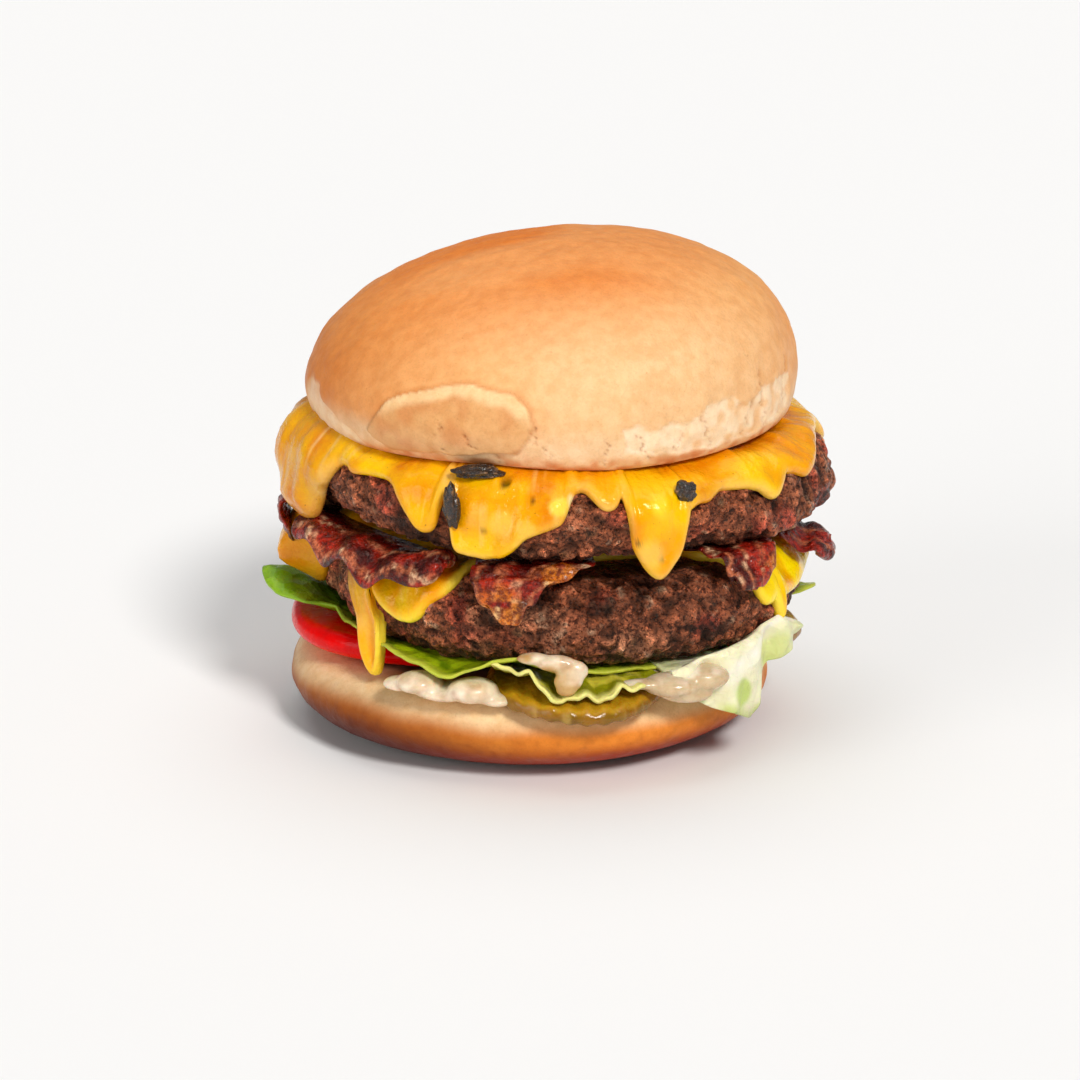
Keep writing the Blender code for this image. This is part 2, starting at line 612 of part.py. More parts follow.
def bacon_middle(bacon, along, across):
    """The middle surface of a strip; along and across run from 0 to 1."""
    one = through([knot[0] for knot in bacon["knots"]], along)
    other = through([knot[1] for knot in bacon["knots"]], along)
    points = one + (other - one) * across[:, None]
    points[:, 2] -= bacon["droop"] * np.clip(1 - across / 0.45, 0, 1) ** 2
    outside = smooth(50, 58, np.hypot(points[:, 0], points[:, 1]))
    wave = np.sin(along * 40 + bacon["seed"]) * (0.4 + 0.6 * np.abs(2 * across - 1))
    points[:, 2] += bacon["wave"] * outside * wave
    return MM * points


def bacon_points(bacon, theta, along):
    """The strip's skin: theta runs round its cross section and along from end to end."""
    turn = np.radians(theta)
    end = np.sqrt(1 - np.abs(2 * along - 1) ** 16)
    across = 0.5 + 0.5 * np.cos(turn) * end
    step = 0.004
    later = bacon_middle(bacon, np.clip(along + step, 0, 1), across)
    earlier = bacon_middle(bacon, np.clip(along - step, 0, 1), across)
    width = bacon_middle(bacon, along, across + step) - bacon_middle(bacon, along, across - step)
    normal = np.cross(width, later - earlier)
    normal /= np.linalg.norm(normal, axis=1)[:, None] + 1e-12
    start, finish = bacon["plump"]
    plump = 1 + start * smooth(0.22, 0.02, along) + finish * smooth(0.8, 0.95, along)
    half = 0.5 * BACON_THICKNESS * plump
    return bacon_middle(bacon, along, across) + normal * (half * np.sin(turn) * end)[:, None]


def split_faces(mesh):
    """Cuts every face into triangles, so that a solid and its cutter have the same ones."""
    work = bmesh.new()
    work.from_mesh(mesh)
    bmesh.ops.triangulate(work, faces=work.faces, quad_method="FIXED")
    work.to_mesh(mesh)
    work.free()


def link(name, mesh, colour, roughness):
    """A named object with its own material."""
    split_faces(mesh)
    obj = bpy.data.objects.new(name, mesh)
    bpy.data.collections["double_cheeseburger"].objects.link(obj)
    material = bpy.data.materials.new(name)
    material.use_nodes = True
    shader = material.node_tree.nodes["Principled BSDF"]
    shader.inputs["Base Color"].default_value = (*colour, 1)
    shader.inputs["Roughness"].default_value = roughness
    shader.inputs["Metallic"].default_value = 0
    mesh.materials.clear()
    mesh.materials.append(material)
    return obj


def coordinates(mesh):
    flat = np.empty(len(mesh.vertices) * 3)
    mesh.vertices.foreach_get("co", flat)
    return flat.reshape(-1, 3)


def set_coordinates(mesh, points):
    mesh.vertices.foreach_set("co", np.ascontiguousarray(points, np.float32).ravel())
    mesh.update()


def ball(name, segments, rings):
    """A sphere mesh, with each vertex's angle in degrees and its share of the way down."""
    mesh = bpy.data.meshes.new(name)
    work = bmesh.new()
    bmesh.ops.create_uvsphere(work, u_segments=segments, v_segments=rings, radius=1)
    work.to_mesh(mesh)
    work.free()
    at = coordinates(mesh)
    theta = np.degrees(np.arctan2(at[:, 1], at[:, 0])) % 360
    return mesh, theta, np.arccos(np.clip(at[:, 2], -1, 1)) / math.pi


def applied(obj):
    """The object's mesh with its modifiers in it."""
    graph = bpy.context.evaluated_depsgraph_get()
    graph.update()
    made = bpy.data.meshes.new_from_object(obj.evaluated_get(graph))
    obj.modifiers.clear()
    obj.data = made
    return made


def disc_sheet(name, segments, rings):
    """A flat round sheet turned from a line, with each vertex's angle and share of the radius."""
    mesh = bpy.data.meshes.new(name)
    line = [(1 - i / rings, 0, 0) for i in range(rings + 1)]
    mesh.from_pydata(line, [(i, i + 1) for i in range(rings)], [])
    helper = bpy.data.objects.new(name + ".line", mesh)
    bpy.context.scene.collection.objects.link(helper)
    screw = helper.modifiers.new("Turn", "SCREW")
    screw.steps = screw.render_steps = segments
    screw.use_merge_vertices = True
    screw.merge_threshold = 1e-5
    screw.use_normal_calculate = True
    made = applied(helper)
    bpy.data.objects.remove(helper)
    face_up(made)
    at = coordinates(made)
    theta = np.degrees(np.arctan2(at[:, 1], at[:, 0])) % 360
    return made, theta, np.clip(np.hypot(at[:, 0], at[:, 1]), 0, 1)


def outward(mesh):
    """Turns a closed mesh's faces outwards."""
    work = bmesh.new()
    work.from_mesh(mesh)
    bmesh.ops.recalc_face_normals(work, faces=work.faces)
    work.to_mesh(mesh)
    work.free()


def face_up(mesh):
    work = bmesh.new()
    work.from_mesh(mesh)
    bmesh.ops.recalc_face_normals(work, faces=work.faces)
    if sum(face.normal.z for face in work.faces) < 0:
        bmesh.ops.reverse_faces(work, faces=work.faces)
    work.to_mesh(mesh)
    work.free()


def thicken(obj, thickness):
    """Solidifies a sheet, half to each side. Its faces are triangles, so both sides are split alike."""
    solid = obj.modifiers.new("Thickness", "SOLIDIFY")
    solid.thickness = thickness
    solid.offset = 0
    solid.use_even_offset = False
    applied(obj)
    split_faces(obj.data)


def swollen(obj, gap):
    """A copy of the object, grown by gap along its normals, to cut its neighbours with."""
    mesh = obj.data.copy()
    points = coordinates(mesh)
    normals = np.empty(len(mesh.vertices) * 3)
    mesh.vertices.foreach_get("normal", normals)
    set_coordinates(mesh, points + gap * normals.reshape(-1, 3))
    cutter = bpy.data.objects.new(obj.name + ".cutter", mesh)
    bpy.data.collections["cutters"].objects.link(cutter)
    cutter.hide_render = True
    cutter.display_type = "WIRE"
    return cutter


def keep_largest(mesh):
    """Drops the loose scraps that a cut leaves."""
    work = bmesh.new()
    work.from_mesh(mesh)
    left = set(work.faces)
    islands = []
    while left:
        stack = [left.pop()]
        island = set(stack)
        while stack:
            sound = [edge for edge in stack.pop().edges if len(edge.link_faces) == 2]
            near = {face for edge in sound for face in edge.link_faces} & left
            left -= near
            island |= near
            stack.extend(near)
        islands.append(island)
    largest = max(islands, key=lambda island: sum(face.calc_area() for face in island))
    scraps = [face for island in islands if island is not largest for face in island]
    bmesh.ops.delete(work, geom=scraps, context="FACES")
    work.to_mesh(mesh)
    work.free()


def carve(obj, *neighbours):
    """Cuts the neighbours, with the clearance round them, out of the object."""
    for neighbour in neighbours:
        cutter = swollen(neighbour, GAP)
        cut = obj.modifiers.new("Cut", "BOOLEAN")
        cut.operation = "DIFFERENCE"
        cut.solver = "MANIFOLD"
        cut.object = cutter
        applied(obj)
        bpy.data.objects.remove(cutter)
        keep_largest(obj.data)
        split_faces(obj.data)


def make_heel():
    mesh, theta, share = ball("bun_bottom", 42, 12)
    set_coordinates(mesh, heel_points(theta, share))
    return link("bun_bottom", mesh, (0.72, 0.36, 0.13), 0.7)


def make_crown():
    mesh, theta, share = ball("bun_top", 42, 13)
    set_coordinates(mesh, crown_points(theta, share))
    return link("bun_top", mesh, (0.83, 0.42, 0.15), 0.6)


def make_patty(name, patty):
    mesh, theta, share = ball(name, 48, 11)
    set_coordinates(mesh, patty_points(patty, theta, share))
    return link(name, mesh, (0.13, 0.055, 0.032), 0.6)


def crowded(theta):
    """Angles moved towards the front, where the mesh is finer for it."""
    return (theta - math.degrees(FRONT_SHARE) * np.cos(np.radians(theta))) % 360


def make_cheese(name, cheese):
    """Its upper side has more rings than its lower one, which lies in the patty."""
    mesh, theta, share = ball(name, 90, 8)
    down = np.interp(share, np.arange(9) / 8, (0, 0.1, 0.2, 0.3, 0.4, 0.5, 0.64, 0.86, 1))
    set_coordinates(mesh, cheese_points(cheese, crowded(theta), down))
    return link(name, mesh, (0.93, 0.47, 0.03), 0.3)


def make_tomato():
    mesh, theta, share = ball("tomato", 30, 6)
    set_coordinates(mesh, tomato_points(theta, share))
    return link("tomato", mesh, (0.52, 0.012, 0.008), 0.25)


def make_pickle(name, pickle):
    mesh, theta, share = ball(name, 22, 7)
    set_coordinates(mesh, pickle_points(pickle, theta, share))
    return link(name, mesh, (0.28, 0.19, 0.02), 0.3)


def make_leaf():
    mesh, theta, share = disc_sheet("lettuce_leaf", 46, 5)
    set_coordinates(mesh, leaf_points(theta, share))
    obj = link("lettuce_leaf", mesh, (0.16, 0.27, 0.03), 0.4)
    thicken(obj, LEAF["thickness"])
    return obj


def grid_sheet(name, columns, rows):
    """A square sheet of columns by rows, with each vertex's place from 0 to 1 both ways."""
    mesh = bpy.data.meshes.new(name)
    work = bmesh.new()
    bmesh.ops.create_grid(work, x_segments=columns, y_segments=rows, size=0.5)
    work.to_mesh(mesh)
    work.free()
    at = coordinates(mesh)
    return mesh, np.clip(at[:, 0] + 0.5, 0, 1), np.clip(at[:, 1] + 0.5, 0, 1)


def make_sheet(name, columns, rows, surface, thickness, colour):
    mesh, across, down = grid_sheet(name, columns, rows)
    set_coordinates(mesh, surface(across, down))
    obj = link(name, mesh, colour, 0.35)
    thicken(obj, thickness)
    return obj


def make_bacon(name, bacon):
    """A strip with rounded edges: the mesh's rings run along it and its columns round it."""
    mesh, theta, along = ball(name, 8, 22)
    set_coordinates(mesh, bacon_points(bacon, theta, along))
    outward(mesh)
    return link(name, mesh, (0.35, 0.04, 0.02), 0.35)



def rough_ball(centre, sizes, seed):
    """A small lump of uneven shape."""
    mesh, _, _ = ball("lump", 9, 6)
    lumpy = coordinates(mesh)
    lumpy *= 1 + 0.22 * lumps(lumpy, 0.8, seed)[:, None]
    set_coordinates(mesh, MM * (np.array(centre) + lumpy * np.array(sizes)))
    return mesh


def make_char(name, centre, sizes, seed):
    return link(name, rough_ball(centre, sizes, seed), (0.02, 0.014, 0.012), 0.4)


def make_sauce(name, drops):
    """Drops of sauce run together into one thick spill."""
    work = bmesh.new()
    for centre, sizes in drops:
        mesh, _, _ = ball("drop", 24, 14)
        set_coordinates(mesh, MM * (np.array(centre) + coordinates(mesh) * np.array(sizes)))
        work.from_mesh(mesh)
        bpy.data.meshes.remove(mesh)
    mesh = bpy.data.meshes.new(name)
    work.to_mesh(mesh)
    work.free()
    obj = link(name, mesh, (0.86, 0.68, 0.45), 0.3)
    merged = obj.modifiers.new("Merge", "REMESH")
    merged.mode = "VOXEL"
    merged.voxel_size = SAUCE_VOXEL
    soft = obj.modifiers.new("Soften", "SMOOTH")
    soft.iterations = 4
    fewer = obj.modifiers.new("Simplify", "DECIMATE")
    fewer.ratio = SAUCE_KEPT
    applied(obj)
    split_faces(obj.data)
    keep_largest(obj.data)
    return obj


def main():
    clear_scene()
    for name in ("double_cheeseburger", "cutters"):
        bpy.context.scene.collection.children.link(bpy.data.collections.new(name))
    heel = make_heel()
    tomato = make_tomato()
    pickle_front = make_pickle("pickle_front", PICKLE_FRONT)
    pickle_right = make_pickle("pickle_right", PICKLE_RIGHT)
    carve(pickle_front, heel, tomato)
    carve(pickle_right, heel, tomato)
    lower = make_patty("patty_lower", PATTY_LOWER)
    upper = make_patty("patty_upper", PATTY_UPPER)
    crown = make_crown()
    cheese_lower = make_cheese("cheese_lower", CHEESE_LOWER)
    carve(cheese_lower, lower, heel)
    cheese_upper = make_cheese("cheese_upper", CHEESE_UPPER)
    carve(cheese_upper, upper, crown)

    leaf = make_leaf()
    carve(leaf, lower, cheese_lower, tomato)
    crisp = make_sheet("lettuce_crisp", 15, 7, crisp_points, CRISP["thickness"], (0.62, 0.68, 0.32))
    carve(crisp, heel, pickle_front, pickle_right, lower, cheese_lower, leaf)
    frill = make_sheet("lettuce_frill", 16, 4, frill_points, FRILL["thickness"], (0.42, 0.4, 0.07))
    carve(frill, pickle_front, lower, leaf, crisp)

    bacon_left = make_bacon("bacon_left", BACON_LEFT)
    carve(bacon_left, cheese_lower, cheese_upper, upper)
    bacon_front = make_bacon("bacon_front", BACON_FRONT)
    carve(bacon_front, cheese_lower, cheese_upper, upper, bacon_left)
    bacon_right = make_bacon("bacon_right", BACON_RIGHT)
    carve(bacon_right, cheese_lower, cheese_upper, upper)
    bacon_cross = make_bacon("bacon_cross", BACON_CROSS)
    carve(bacon_cross, upper, cheese_lower, cheese_upper, bacon_left, bacon_front, bacon_right)

    sauce_left = make_sauce("sauce_left", SAUCE_LEFT)
    carve(sauce_left, heel, tomato, pickle_front, leaf)
    sauce_right = make_sauce("sauce_right", SAUCE_RIGHT)
    carve(sauce_right, heel, pickle_front, pickle_right, crisp, frill, leaf, lower)
    sauce_flap = make_sauce("sauce_flap", SAUCE_FLAP)
    carve(sauce_flap, frill, leaf, lower, pickle_front)

    for name, (centre, sizes, seed) in CHAR_BITS.items():
        bit = make_char(name, centre, sizes, seed)
        carve(bit, upper, cheese_upper, crown)


main()
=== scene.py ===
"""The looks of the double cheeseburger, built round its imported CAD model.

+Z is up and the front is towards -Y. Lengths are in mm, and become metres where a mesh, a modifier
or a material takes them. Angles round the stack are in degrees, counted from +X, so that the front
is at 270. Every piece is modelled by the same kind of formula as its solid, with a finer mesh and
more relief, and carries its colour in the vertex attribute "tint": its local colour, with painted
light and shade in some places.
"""

import json
import math

import bmesh
import bpy
import numpy as np
from mathutils import Matrix, Vector

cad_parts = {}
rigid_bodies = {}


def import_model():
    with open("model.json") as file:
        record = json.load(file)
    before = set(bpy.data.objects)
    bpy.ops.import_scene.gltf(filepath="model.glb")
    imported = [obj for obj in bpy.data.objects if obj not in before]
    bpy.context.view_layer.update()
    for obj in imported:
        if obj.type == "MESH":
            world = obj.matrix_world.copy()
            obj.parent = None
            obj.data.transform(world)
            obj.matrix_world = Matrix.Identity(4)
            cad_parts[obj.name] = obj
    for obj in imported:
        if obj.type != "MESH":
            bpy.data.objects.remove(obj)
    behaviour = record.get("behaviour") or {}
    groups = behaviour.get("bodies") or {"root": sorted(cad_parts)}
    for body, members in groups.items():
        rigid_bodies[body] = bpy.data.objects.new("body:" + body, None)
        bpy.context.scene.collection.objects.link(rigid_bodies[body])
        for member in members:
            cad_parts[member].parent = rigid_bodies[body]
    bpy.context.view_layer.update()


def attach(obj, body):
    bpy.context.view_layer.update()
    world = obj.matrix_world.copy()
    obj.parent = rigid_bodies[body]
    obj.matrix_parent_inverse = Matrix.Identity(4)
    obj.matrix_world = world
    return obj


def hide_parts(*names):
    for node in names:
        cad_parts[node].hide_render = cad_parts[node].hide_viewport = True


MM = 0.001

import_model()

# Lower bun: a squat round with a flat foot and a cut, toasted upper face.
HEEL = {
    "centre": (-5.0, 0.0),
    "radius": 54.0,
    "foot_radius": 30.0,
    "waist": 10.8,
    "top": 18.3,
    "edge": 10.0,
}

# Upper bun: a dome, fuller on its right, on a narrower cut face. slant is what the crust's marks rise
# for each mm to the right, and sag is (angle, how far the rim sinks towards the cheese).
CROWN = {
    "centre": (0.6, 0.0),
    "base": 72.2,
    "radius": 54.4,
    "cut_radius": 50.5,
    "waist": 7.8,
    "dome": 29.4,
    "shear": 5.2,
    "lean_right": 2.4,
    "lean_front": 0.4,
    "slant": 0.042,
    "sag": ((0, 2.4), (40, 0.8), (80, 0.0), (255, 0.0), (272, 1.5), (285, 2.4), (300, 2.8), (335, 2.9)),
}

# A flap of thinner crust that stands a little proud, and torn, pale patches along the lower edge: the
# corners are (angle, height above the cut face).
CROWN_FLAP = (
    (224, 5.0), (228, 9.7), (230, 12.4), (233, 13.9), (236, 14.7), (240, 15.2), (244, 16.5),
    (248, 16.9), (251, 16.9), (255, 16.3), (260, 15.4), (263, 13.9), (265, 11.8), (266, 9.1),
    (265, 7.0), (262, 3.5), (246, 2.2), (230, 1.6),
)
CROWN_TORN_LEFT = (
    (194, 1.0), (192, 9.0), (197, 12.5), (203, 11.0), (206, 7.6), (212, 6.4), (218, 3.6), (221, 1.2),
    (208, 0.6),
)
CROWN_TORN = (
    (286, 4.4), (286, 8.6), (290, 8.5), (294, 7.9), (302, 7.6), (305, 8.8), (308, 10.0), (316, 9.5),
    (320, 7.6), (322, 9.2), (330, 10.1), (338, 10.3), (344, 9.6), (340, 3.8), (328, 2.4), (318, 2.2),
    (306, 2.2), (296, 2.4),
)
# Fine cracks: angle, height of the lower and the upper end, slant and half width.
CROWN_CRACKS = (
    (244, 6.6, 9.0, 0.3, 0.22),
    (246, 1.0, 4.0, -0.4, 0.2),
    (253, 4.0, 7.4, -0.9, 0.22),
    (257, 0.8, 3.2, 0.4, 0.2),
    (266, 5.6, 10.4, 0.1, 0.22),
    (270, 3.0, 6.0, -1.1, 0.25),
    (281, 1.2, 6.4, 0.3, 0.25),
    (292, 2.0, 7.4, -0.4, 0.3),
    (299, 3.0, 7.0, 0.6, 0.3),
    (309, 2.4, 9.6, -0.4, 0.3),
    (320, 2.6, 11.0, 0.5, 0.35),
    (329, 3.0, 13.0, -0.3, 0.35),
    (337, 4.0, 14.0, 0.5, 0.3),
)

# Patties: thick discs with round, craggy edges. middle is the height of the waist, swell is how much
# fuller the low right side is, gloss is the middle of a wetter patch and burnt that of a black one.
PATTY_LOWER = {
    "centre": (2.8, 0.0),
    "middle": 35.5,
    "radius": 54.6,
    "half": 9.3,
    "edge": 9.0,
    "lean_right": -0.9,
    "swell": 0.0,
    "gloss": (16.0, -54.0, 43.0),
    "burnt": (53.0, -17.0, 35.5),
    "seed": 3,
}
PATTY_UPPER = {
    "centre": (3.5, 0.0),
    "middle": 60.0,
    "radius": 58.2,
    "half": 8.8,
    "edge": 10.8,
    "lean_right": -0.9,
    "swell": 3.2,
    "gloss": (36.0, -48.0, 63.0),
    "burnt": (-30.0, -50.0, 54.0),
    "seed": 11,
}

# Melted cheese. hem is (angle, drop below the patty's top) round the sheet, where a drop below zero
# leaves that much of the flat top bare. drift is (angle, sideways run in degrees for each mm of drop),
# tone scales the colour, and bulge is where the rim is thicker: the middle and the half width in
# degrees, and by how much. folds are curved wrinkles: middle, radius and how proud they stand. marks
# are spots and pits: middle and half width, colour and its share, and rise.
CHEESE_THICKNESS = 1.8
CHEESE_SUNK = 0.7
CHEESE_UPPER = {
    "patty": PATTY_UPPER,
    "seed": 23,
    "tone": (0.96, 0.93, 0.7),
    "bulge": (186, 30, 3.8),
    "folds": (
        ((22.6, -54.6, 66.4), 3.8, 0.9),
        ((22.6, -54.6, 66.8), 2.0, 0.8),
        ((2.5, -56.0, 66.8), 3.4, 0.7),
        ((-9.4, -53.6, 69.0), 2.2, 0.8),
    ),
    "marks": (
        ((-9.4, -53.4, 69.0), 1.7, (44, 14, 6), 1.0, -1.2),
        ((-3.5, -58.0, 65.4), 0.8, (90, 46, 14), 0.85, -0.4),
        ((-13.9, -57.8, 59.0), 0.8, (140, 84, 30), 0.8, -0.3),
        ((-10.4, -59.0, 61.1), 3.6, (250, 188, 84), 0.8, 0.0),
        ((-5.0, -60.5, 60.1), 2.6, (250, 188, 84), 0.7, 0.0),
        ((-16.4, -57.0, 61.2), 2.0, (248, 176, 70), 0.6, 0.0),
        ((1.8, -59.4, 64.9), 2.8, (255, 226, 90), 0.8, 0.3),
        ((4.3, -57.7, 65.8), 1.6, (255, 238, 180), 0.8, 0.4),
        ((18.6, -58.6, 56.4), 0.9, (84, 54, 20), 0.85, -0.5),
        ((23.3, -57.1, 52.9), 1.0, (150, 116, 56), 0.8, -0.3),
        ((21.0, -58.2, 54.0), 4.0, (248, 192, 84), 0.8, 0.0),
        ((22.6, -56.1, 64.0), 2.4, (255, 214, 60), 0.8, 0.0),
        ((23.0, -56.1, 65.4), 0.9, (150, 80, 20), 0.8, -0.4),
    ),
    "drift": ((0, 0.0), (360, 0.0)),
    "hem": (
        (5, 3.0), (9, 8.5), (14, 9.5), (19, 8.0), (23, 4.4), (28, 5.0), (32, 11.0), (38, 16.0),
        (43, 13.0), (48, 6.0), (54, 4.0), (58, 7.0), (63, 8.0), (68, 4.6), (74, 5.4), (78, 14.0),
        (84, 20.0), (89, 17.0), (93, 8.0), (99, 4.0), (105, 8.4), (110, 9.0), (116, 4.6),
        (121, 7.0), (126, 14.0), (132, 17.0), (138, 13.0), (143, 5.4), (150, 5.0), (155, 10.0),
        (160, 11.0), (166, 8.0), (172, 12.0), (178, 15.6), (184, 18.0), (190, 19.8), (197, 19.8),
        (201.5, 18.4), (204, 14.0), (206, 11.0), (209, 8.0), (211, 5.4), (212.5, 4.0),
        (215.5, 4.0), (218, 4.8), (224, 4.0), (228, 4.0), (231, 4.8), (233, 6.6), (235, 9.0),
        (237, 11.7), (239.3, 12.9), (241.3, 12.2), (242.4, 9.6), (243.1, 4.2), (244.2, 3.0),
        (244.9, 6.4), (245.2, 11.5), (245.6, 14.4), (247, 15.8), (250, 16.3), (253.5, 16.4),
        (257, 15.8), (259.5, 13.9), (261.5, 11.3), (264, 10.1), (267, 9.0), (269.3, 7.8),
        (270.3, 5.2), (271.2, 2.8), (273.5, 2.2), (275, 3.4), (276.5, 5.0), (278.3, 5.8),
        (280.3, 5.2), (281.6, 3.4), (282.2, 1.6), (282.5, 5.0), (282.8, 11.0),
        (283.5, 13.5), (284.6, 15.6), (286, 18.0), (287.5, 19.7), (289.3, 20.9), (291, 19.9),
        (292.5, 17.6), (294, 15.6), (295, 13.4), (295.4, 10.0), (295.6, 7.0), (296.9, 6.2),
        (298.8, 5.6), (301.5, 5.5), (303.6, 4.5), (305.5, 3.6), (309, 4.0), (313, 4.5), (316, 5.4),
        (317.3, 7.0), (318.8, 8.0), (320.6, 7.4), (322.6, 5.8), (325, 4.0), (328, 4.6),
        (331.5, 6.0), (335, 5.4), (339, 4.2), (343, 3.0), (350, 2.2), (358, 2.2),
    ),
}
CHEESE_LOWER = {
    "patty": PATTY_LOWER,
    "seed": 31,
    # Painted light: this brighter tone makes the sheet look lit, though it lies in the upper patty's
    # shade.
    "tone": (1.25, 1.34, 0.45),
    "bulge": (186, 22, 8.6),
    "folds": (),
    "marks": (
        ((-44.0, -30.5, 40.4), 3.4, (244, 186, 120), 0.8, 0.0),
        ((-41.2, -35.1, 31.9), 2.6, (246, 190, 100), 0.6, 0.0),
        ((-32.2, -43.4, 39.1), 2.4, (255, 206, 20), 0.7, 0.0),
        ((48.8, -30.7, 40.7), 2.6, (255, 214, 40), 0.7, 0.4),
    ),
    "drift": ((190, 0.0), (207, 0.1), (208, 0.7), (217, 0.62), (221, 0.1), (240, 0.0)),
    "hem": (
        (4, 1.6), (9, 5.0), (16, 7.0), (23, 4.6), (28, 2.0), (33, 8.0), (41, 13.0), (48, 9.0),
        (54, 2.2), (60, 2.6), (66, 4.5), (72, 2.4), (79, 6.0), (88, 11.0), (96, 6.6), (103, 1.6),
        (112, 4.0), (120, 1.8), (126, 9.0), (134, 14.5), (142, 9.0), (148, 2.0), (155, 4.4),
        (161, 6.0), (168, 5.0), (175, 8.6), (182, 12.4), (187, 14.0), (190, 11.0), (191.6, 5.6),
        (194, 3.4), (200, 2.8), (206.6, 2.0), (207.8, 4.0), (208.4, 15.0), (209.6, 21.0),
        (211.6, 24.6), (214, 25.8), (216, 24.6), (217, 20.0), (217.8, 11.0), (218.6, 5.4),
        (219.6, 5.2), (220.8, 7.0), (223.4, 8.7), (226.6, 10.2), (230, 11.2), (233.4, 10.8),
        (235.8, 9.6), (237.4, 7.4), (238.8, 5.6), (241.4, 4.2), (243.4, 1.8), (246, -3.0),
        (250, -12.0), (280, -12.0), (310, -12.0), (312.5, -3.0), (315.5, 1.2), (317.4, 3.4),
        (318.2, 6.8), (319.6, 8.3), (321.8, 8.6), (324.2, 8.0), (324.8, 12.2), (326, 13.2),
        (327.2, 12.4), (327.8, 8.4), (332, 8.5), (337, 8.6), (344, 8.0), (352, 6.6), (358, 3.4),
    ),
}

# Fillings that lie on the lower bun.
TOMATO = {
    "centre": (-26.0, 0.0),
    "middle": 22.5,
    "radius": 33.0,
    "half": 2.7,
    "edge": 2.4,
    "lean_right": -2.0,
}
PICKLE_THICKNESS = 3.4
PICKLE_LEVEL = 20.4
# A pickle bends down past this distance from the lower bun's middle, by its bend for each mm squared.
SHOULDER_START = 43.0
PICKLE_FRONT = {"centre": (5.2, -41.4), "radius": 19.0, "bend": 0.008, "seed": 51}
PICKLE_RIGHT = {"centre": (41.0, 2.0), "radius": 16.0, "bend": 0.006, "seed": 52}

# The whole leaf. tips are (angle, half width in degrees, reach), and rim_lift is (angle, how far the
# rim stands above the middle of the leaf).
LEAF = {
    "level": 25.55,
    "fall_right": 0.0157,
    "thickness": 0.6,
    "reach": 50.5,
    "seed": 41,
    "tips": ((185, 13, 64.6), (250, 26, 56.8), (10, 9, 61.5), (80, 20, 55.0), (135, 16, 56.5)),
    "rim_lift": (
        (10, 1.6), (40, -1.2), (80, 1.5), (110, -1.0), (135, 1.6), (160, 0.4), (174, 5.4),
        (183, 7.2), (193, 4.4), (205, 1.6), (218, 1.0), (229, 2.6), (238, 0.2), (245, -0.6),
        (254, 1.6), (263, 4.0), (272, 1.8), (281, -0.8), (290, -0.6), (310, -0.4), (350, 0.3),
    ),
}

# The crisp leaf that folds over the right shoulder. reach is (angle, distance from the axis) of its
# outer part, crest and hem are (angle, height) of its upper and lower edge there, and window is the
# middle of its thin, greener spot.
CRISP = {
    "thickness": 0.8,
    "from": 297.0,
    "to": 337.0,
    "inner": 40.0,
    "inner_level": 24.6,
    "reach": ((297, 57.4), (310, 59.6), (322, 60.2), (337, 60.4)),
    "crest": (
        (297, 25.6), (303, 27.2), (310, 28.8), (316, 29.8), (321, 31.8), (326, 32.3), (331, 30.4),
        (337, 27.4),
    ),
    "window": (41.2, -43.0, 18.3),
    "hem": (
        (297, 22.0), (300, 19.8), (307, 16.4), (313, 13.0), (317.5, 11.8), (320.6, 14.0),
        (321.8, 19.4), (324, 22.4), (328, 24.0), (333, 25.6), (337, 26.2),
    ),
}

# The ruffled leaf end between the front pickle and the lower patty: rim is (angle, height).
FRILL = {
    "thickness": 0.8,
    "from": 257.0,
    "to": 296.0,
    "inner": 38.0,
    "level": 23.8,
    "reach": 58.6,
    "rim": (
        (257, 28.6), (262, 28.2), (265.7, 27.5), (268.4, 24.6), (270.3, 21.7), (272.5, 21.0),
        (275.1, 22.8), (278.2, 22.1), (280.3, 21.2), (282.8, 22.2), (285, 23.7), (288.9, 23.6),
        (292.7, 22.4), (296, 24.4),
    ),
}
# How wide the cells between a leaf's veins are.
LEAF_CELL = 4.2

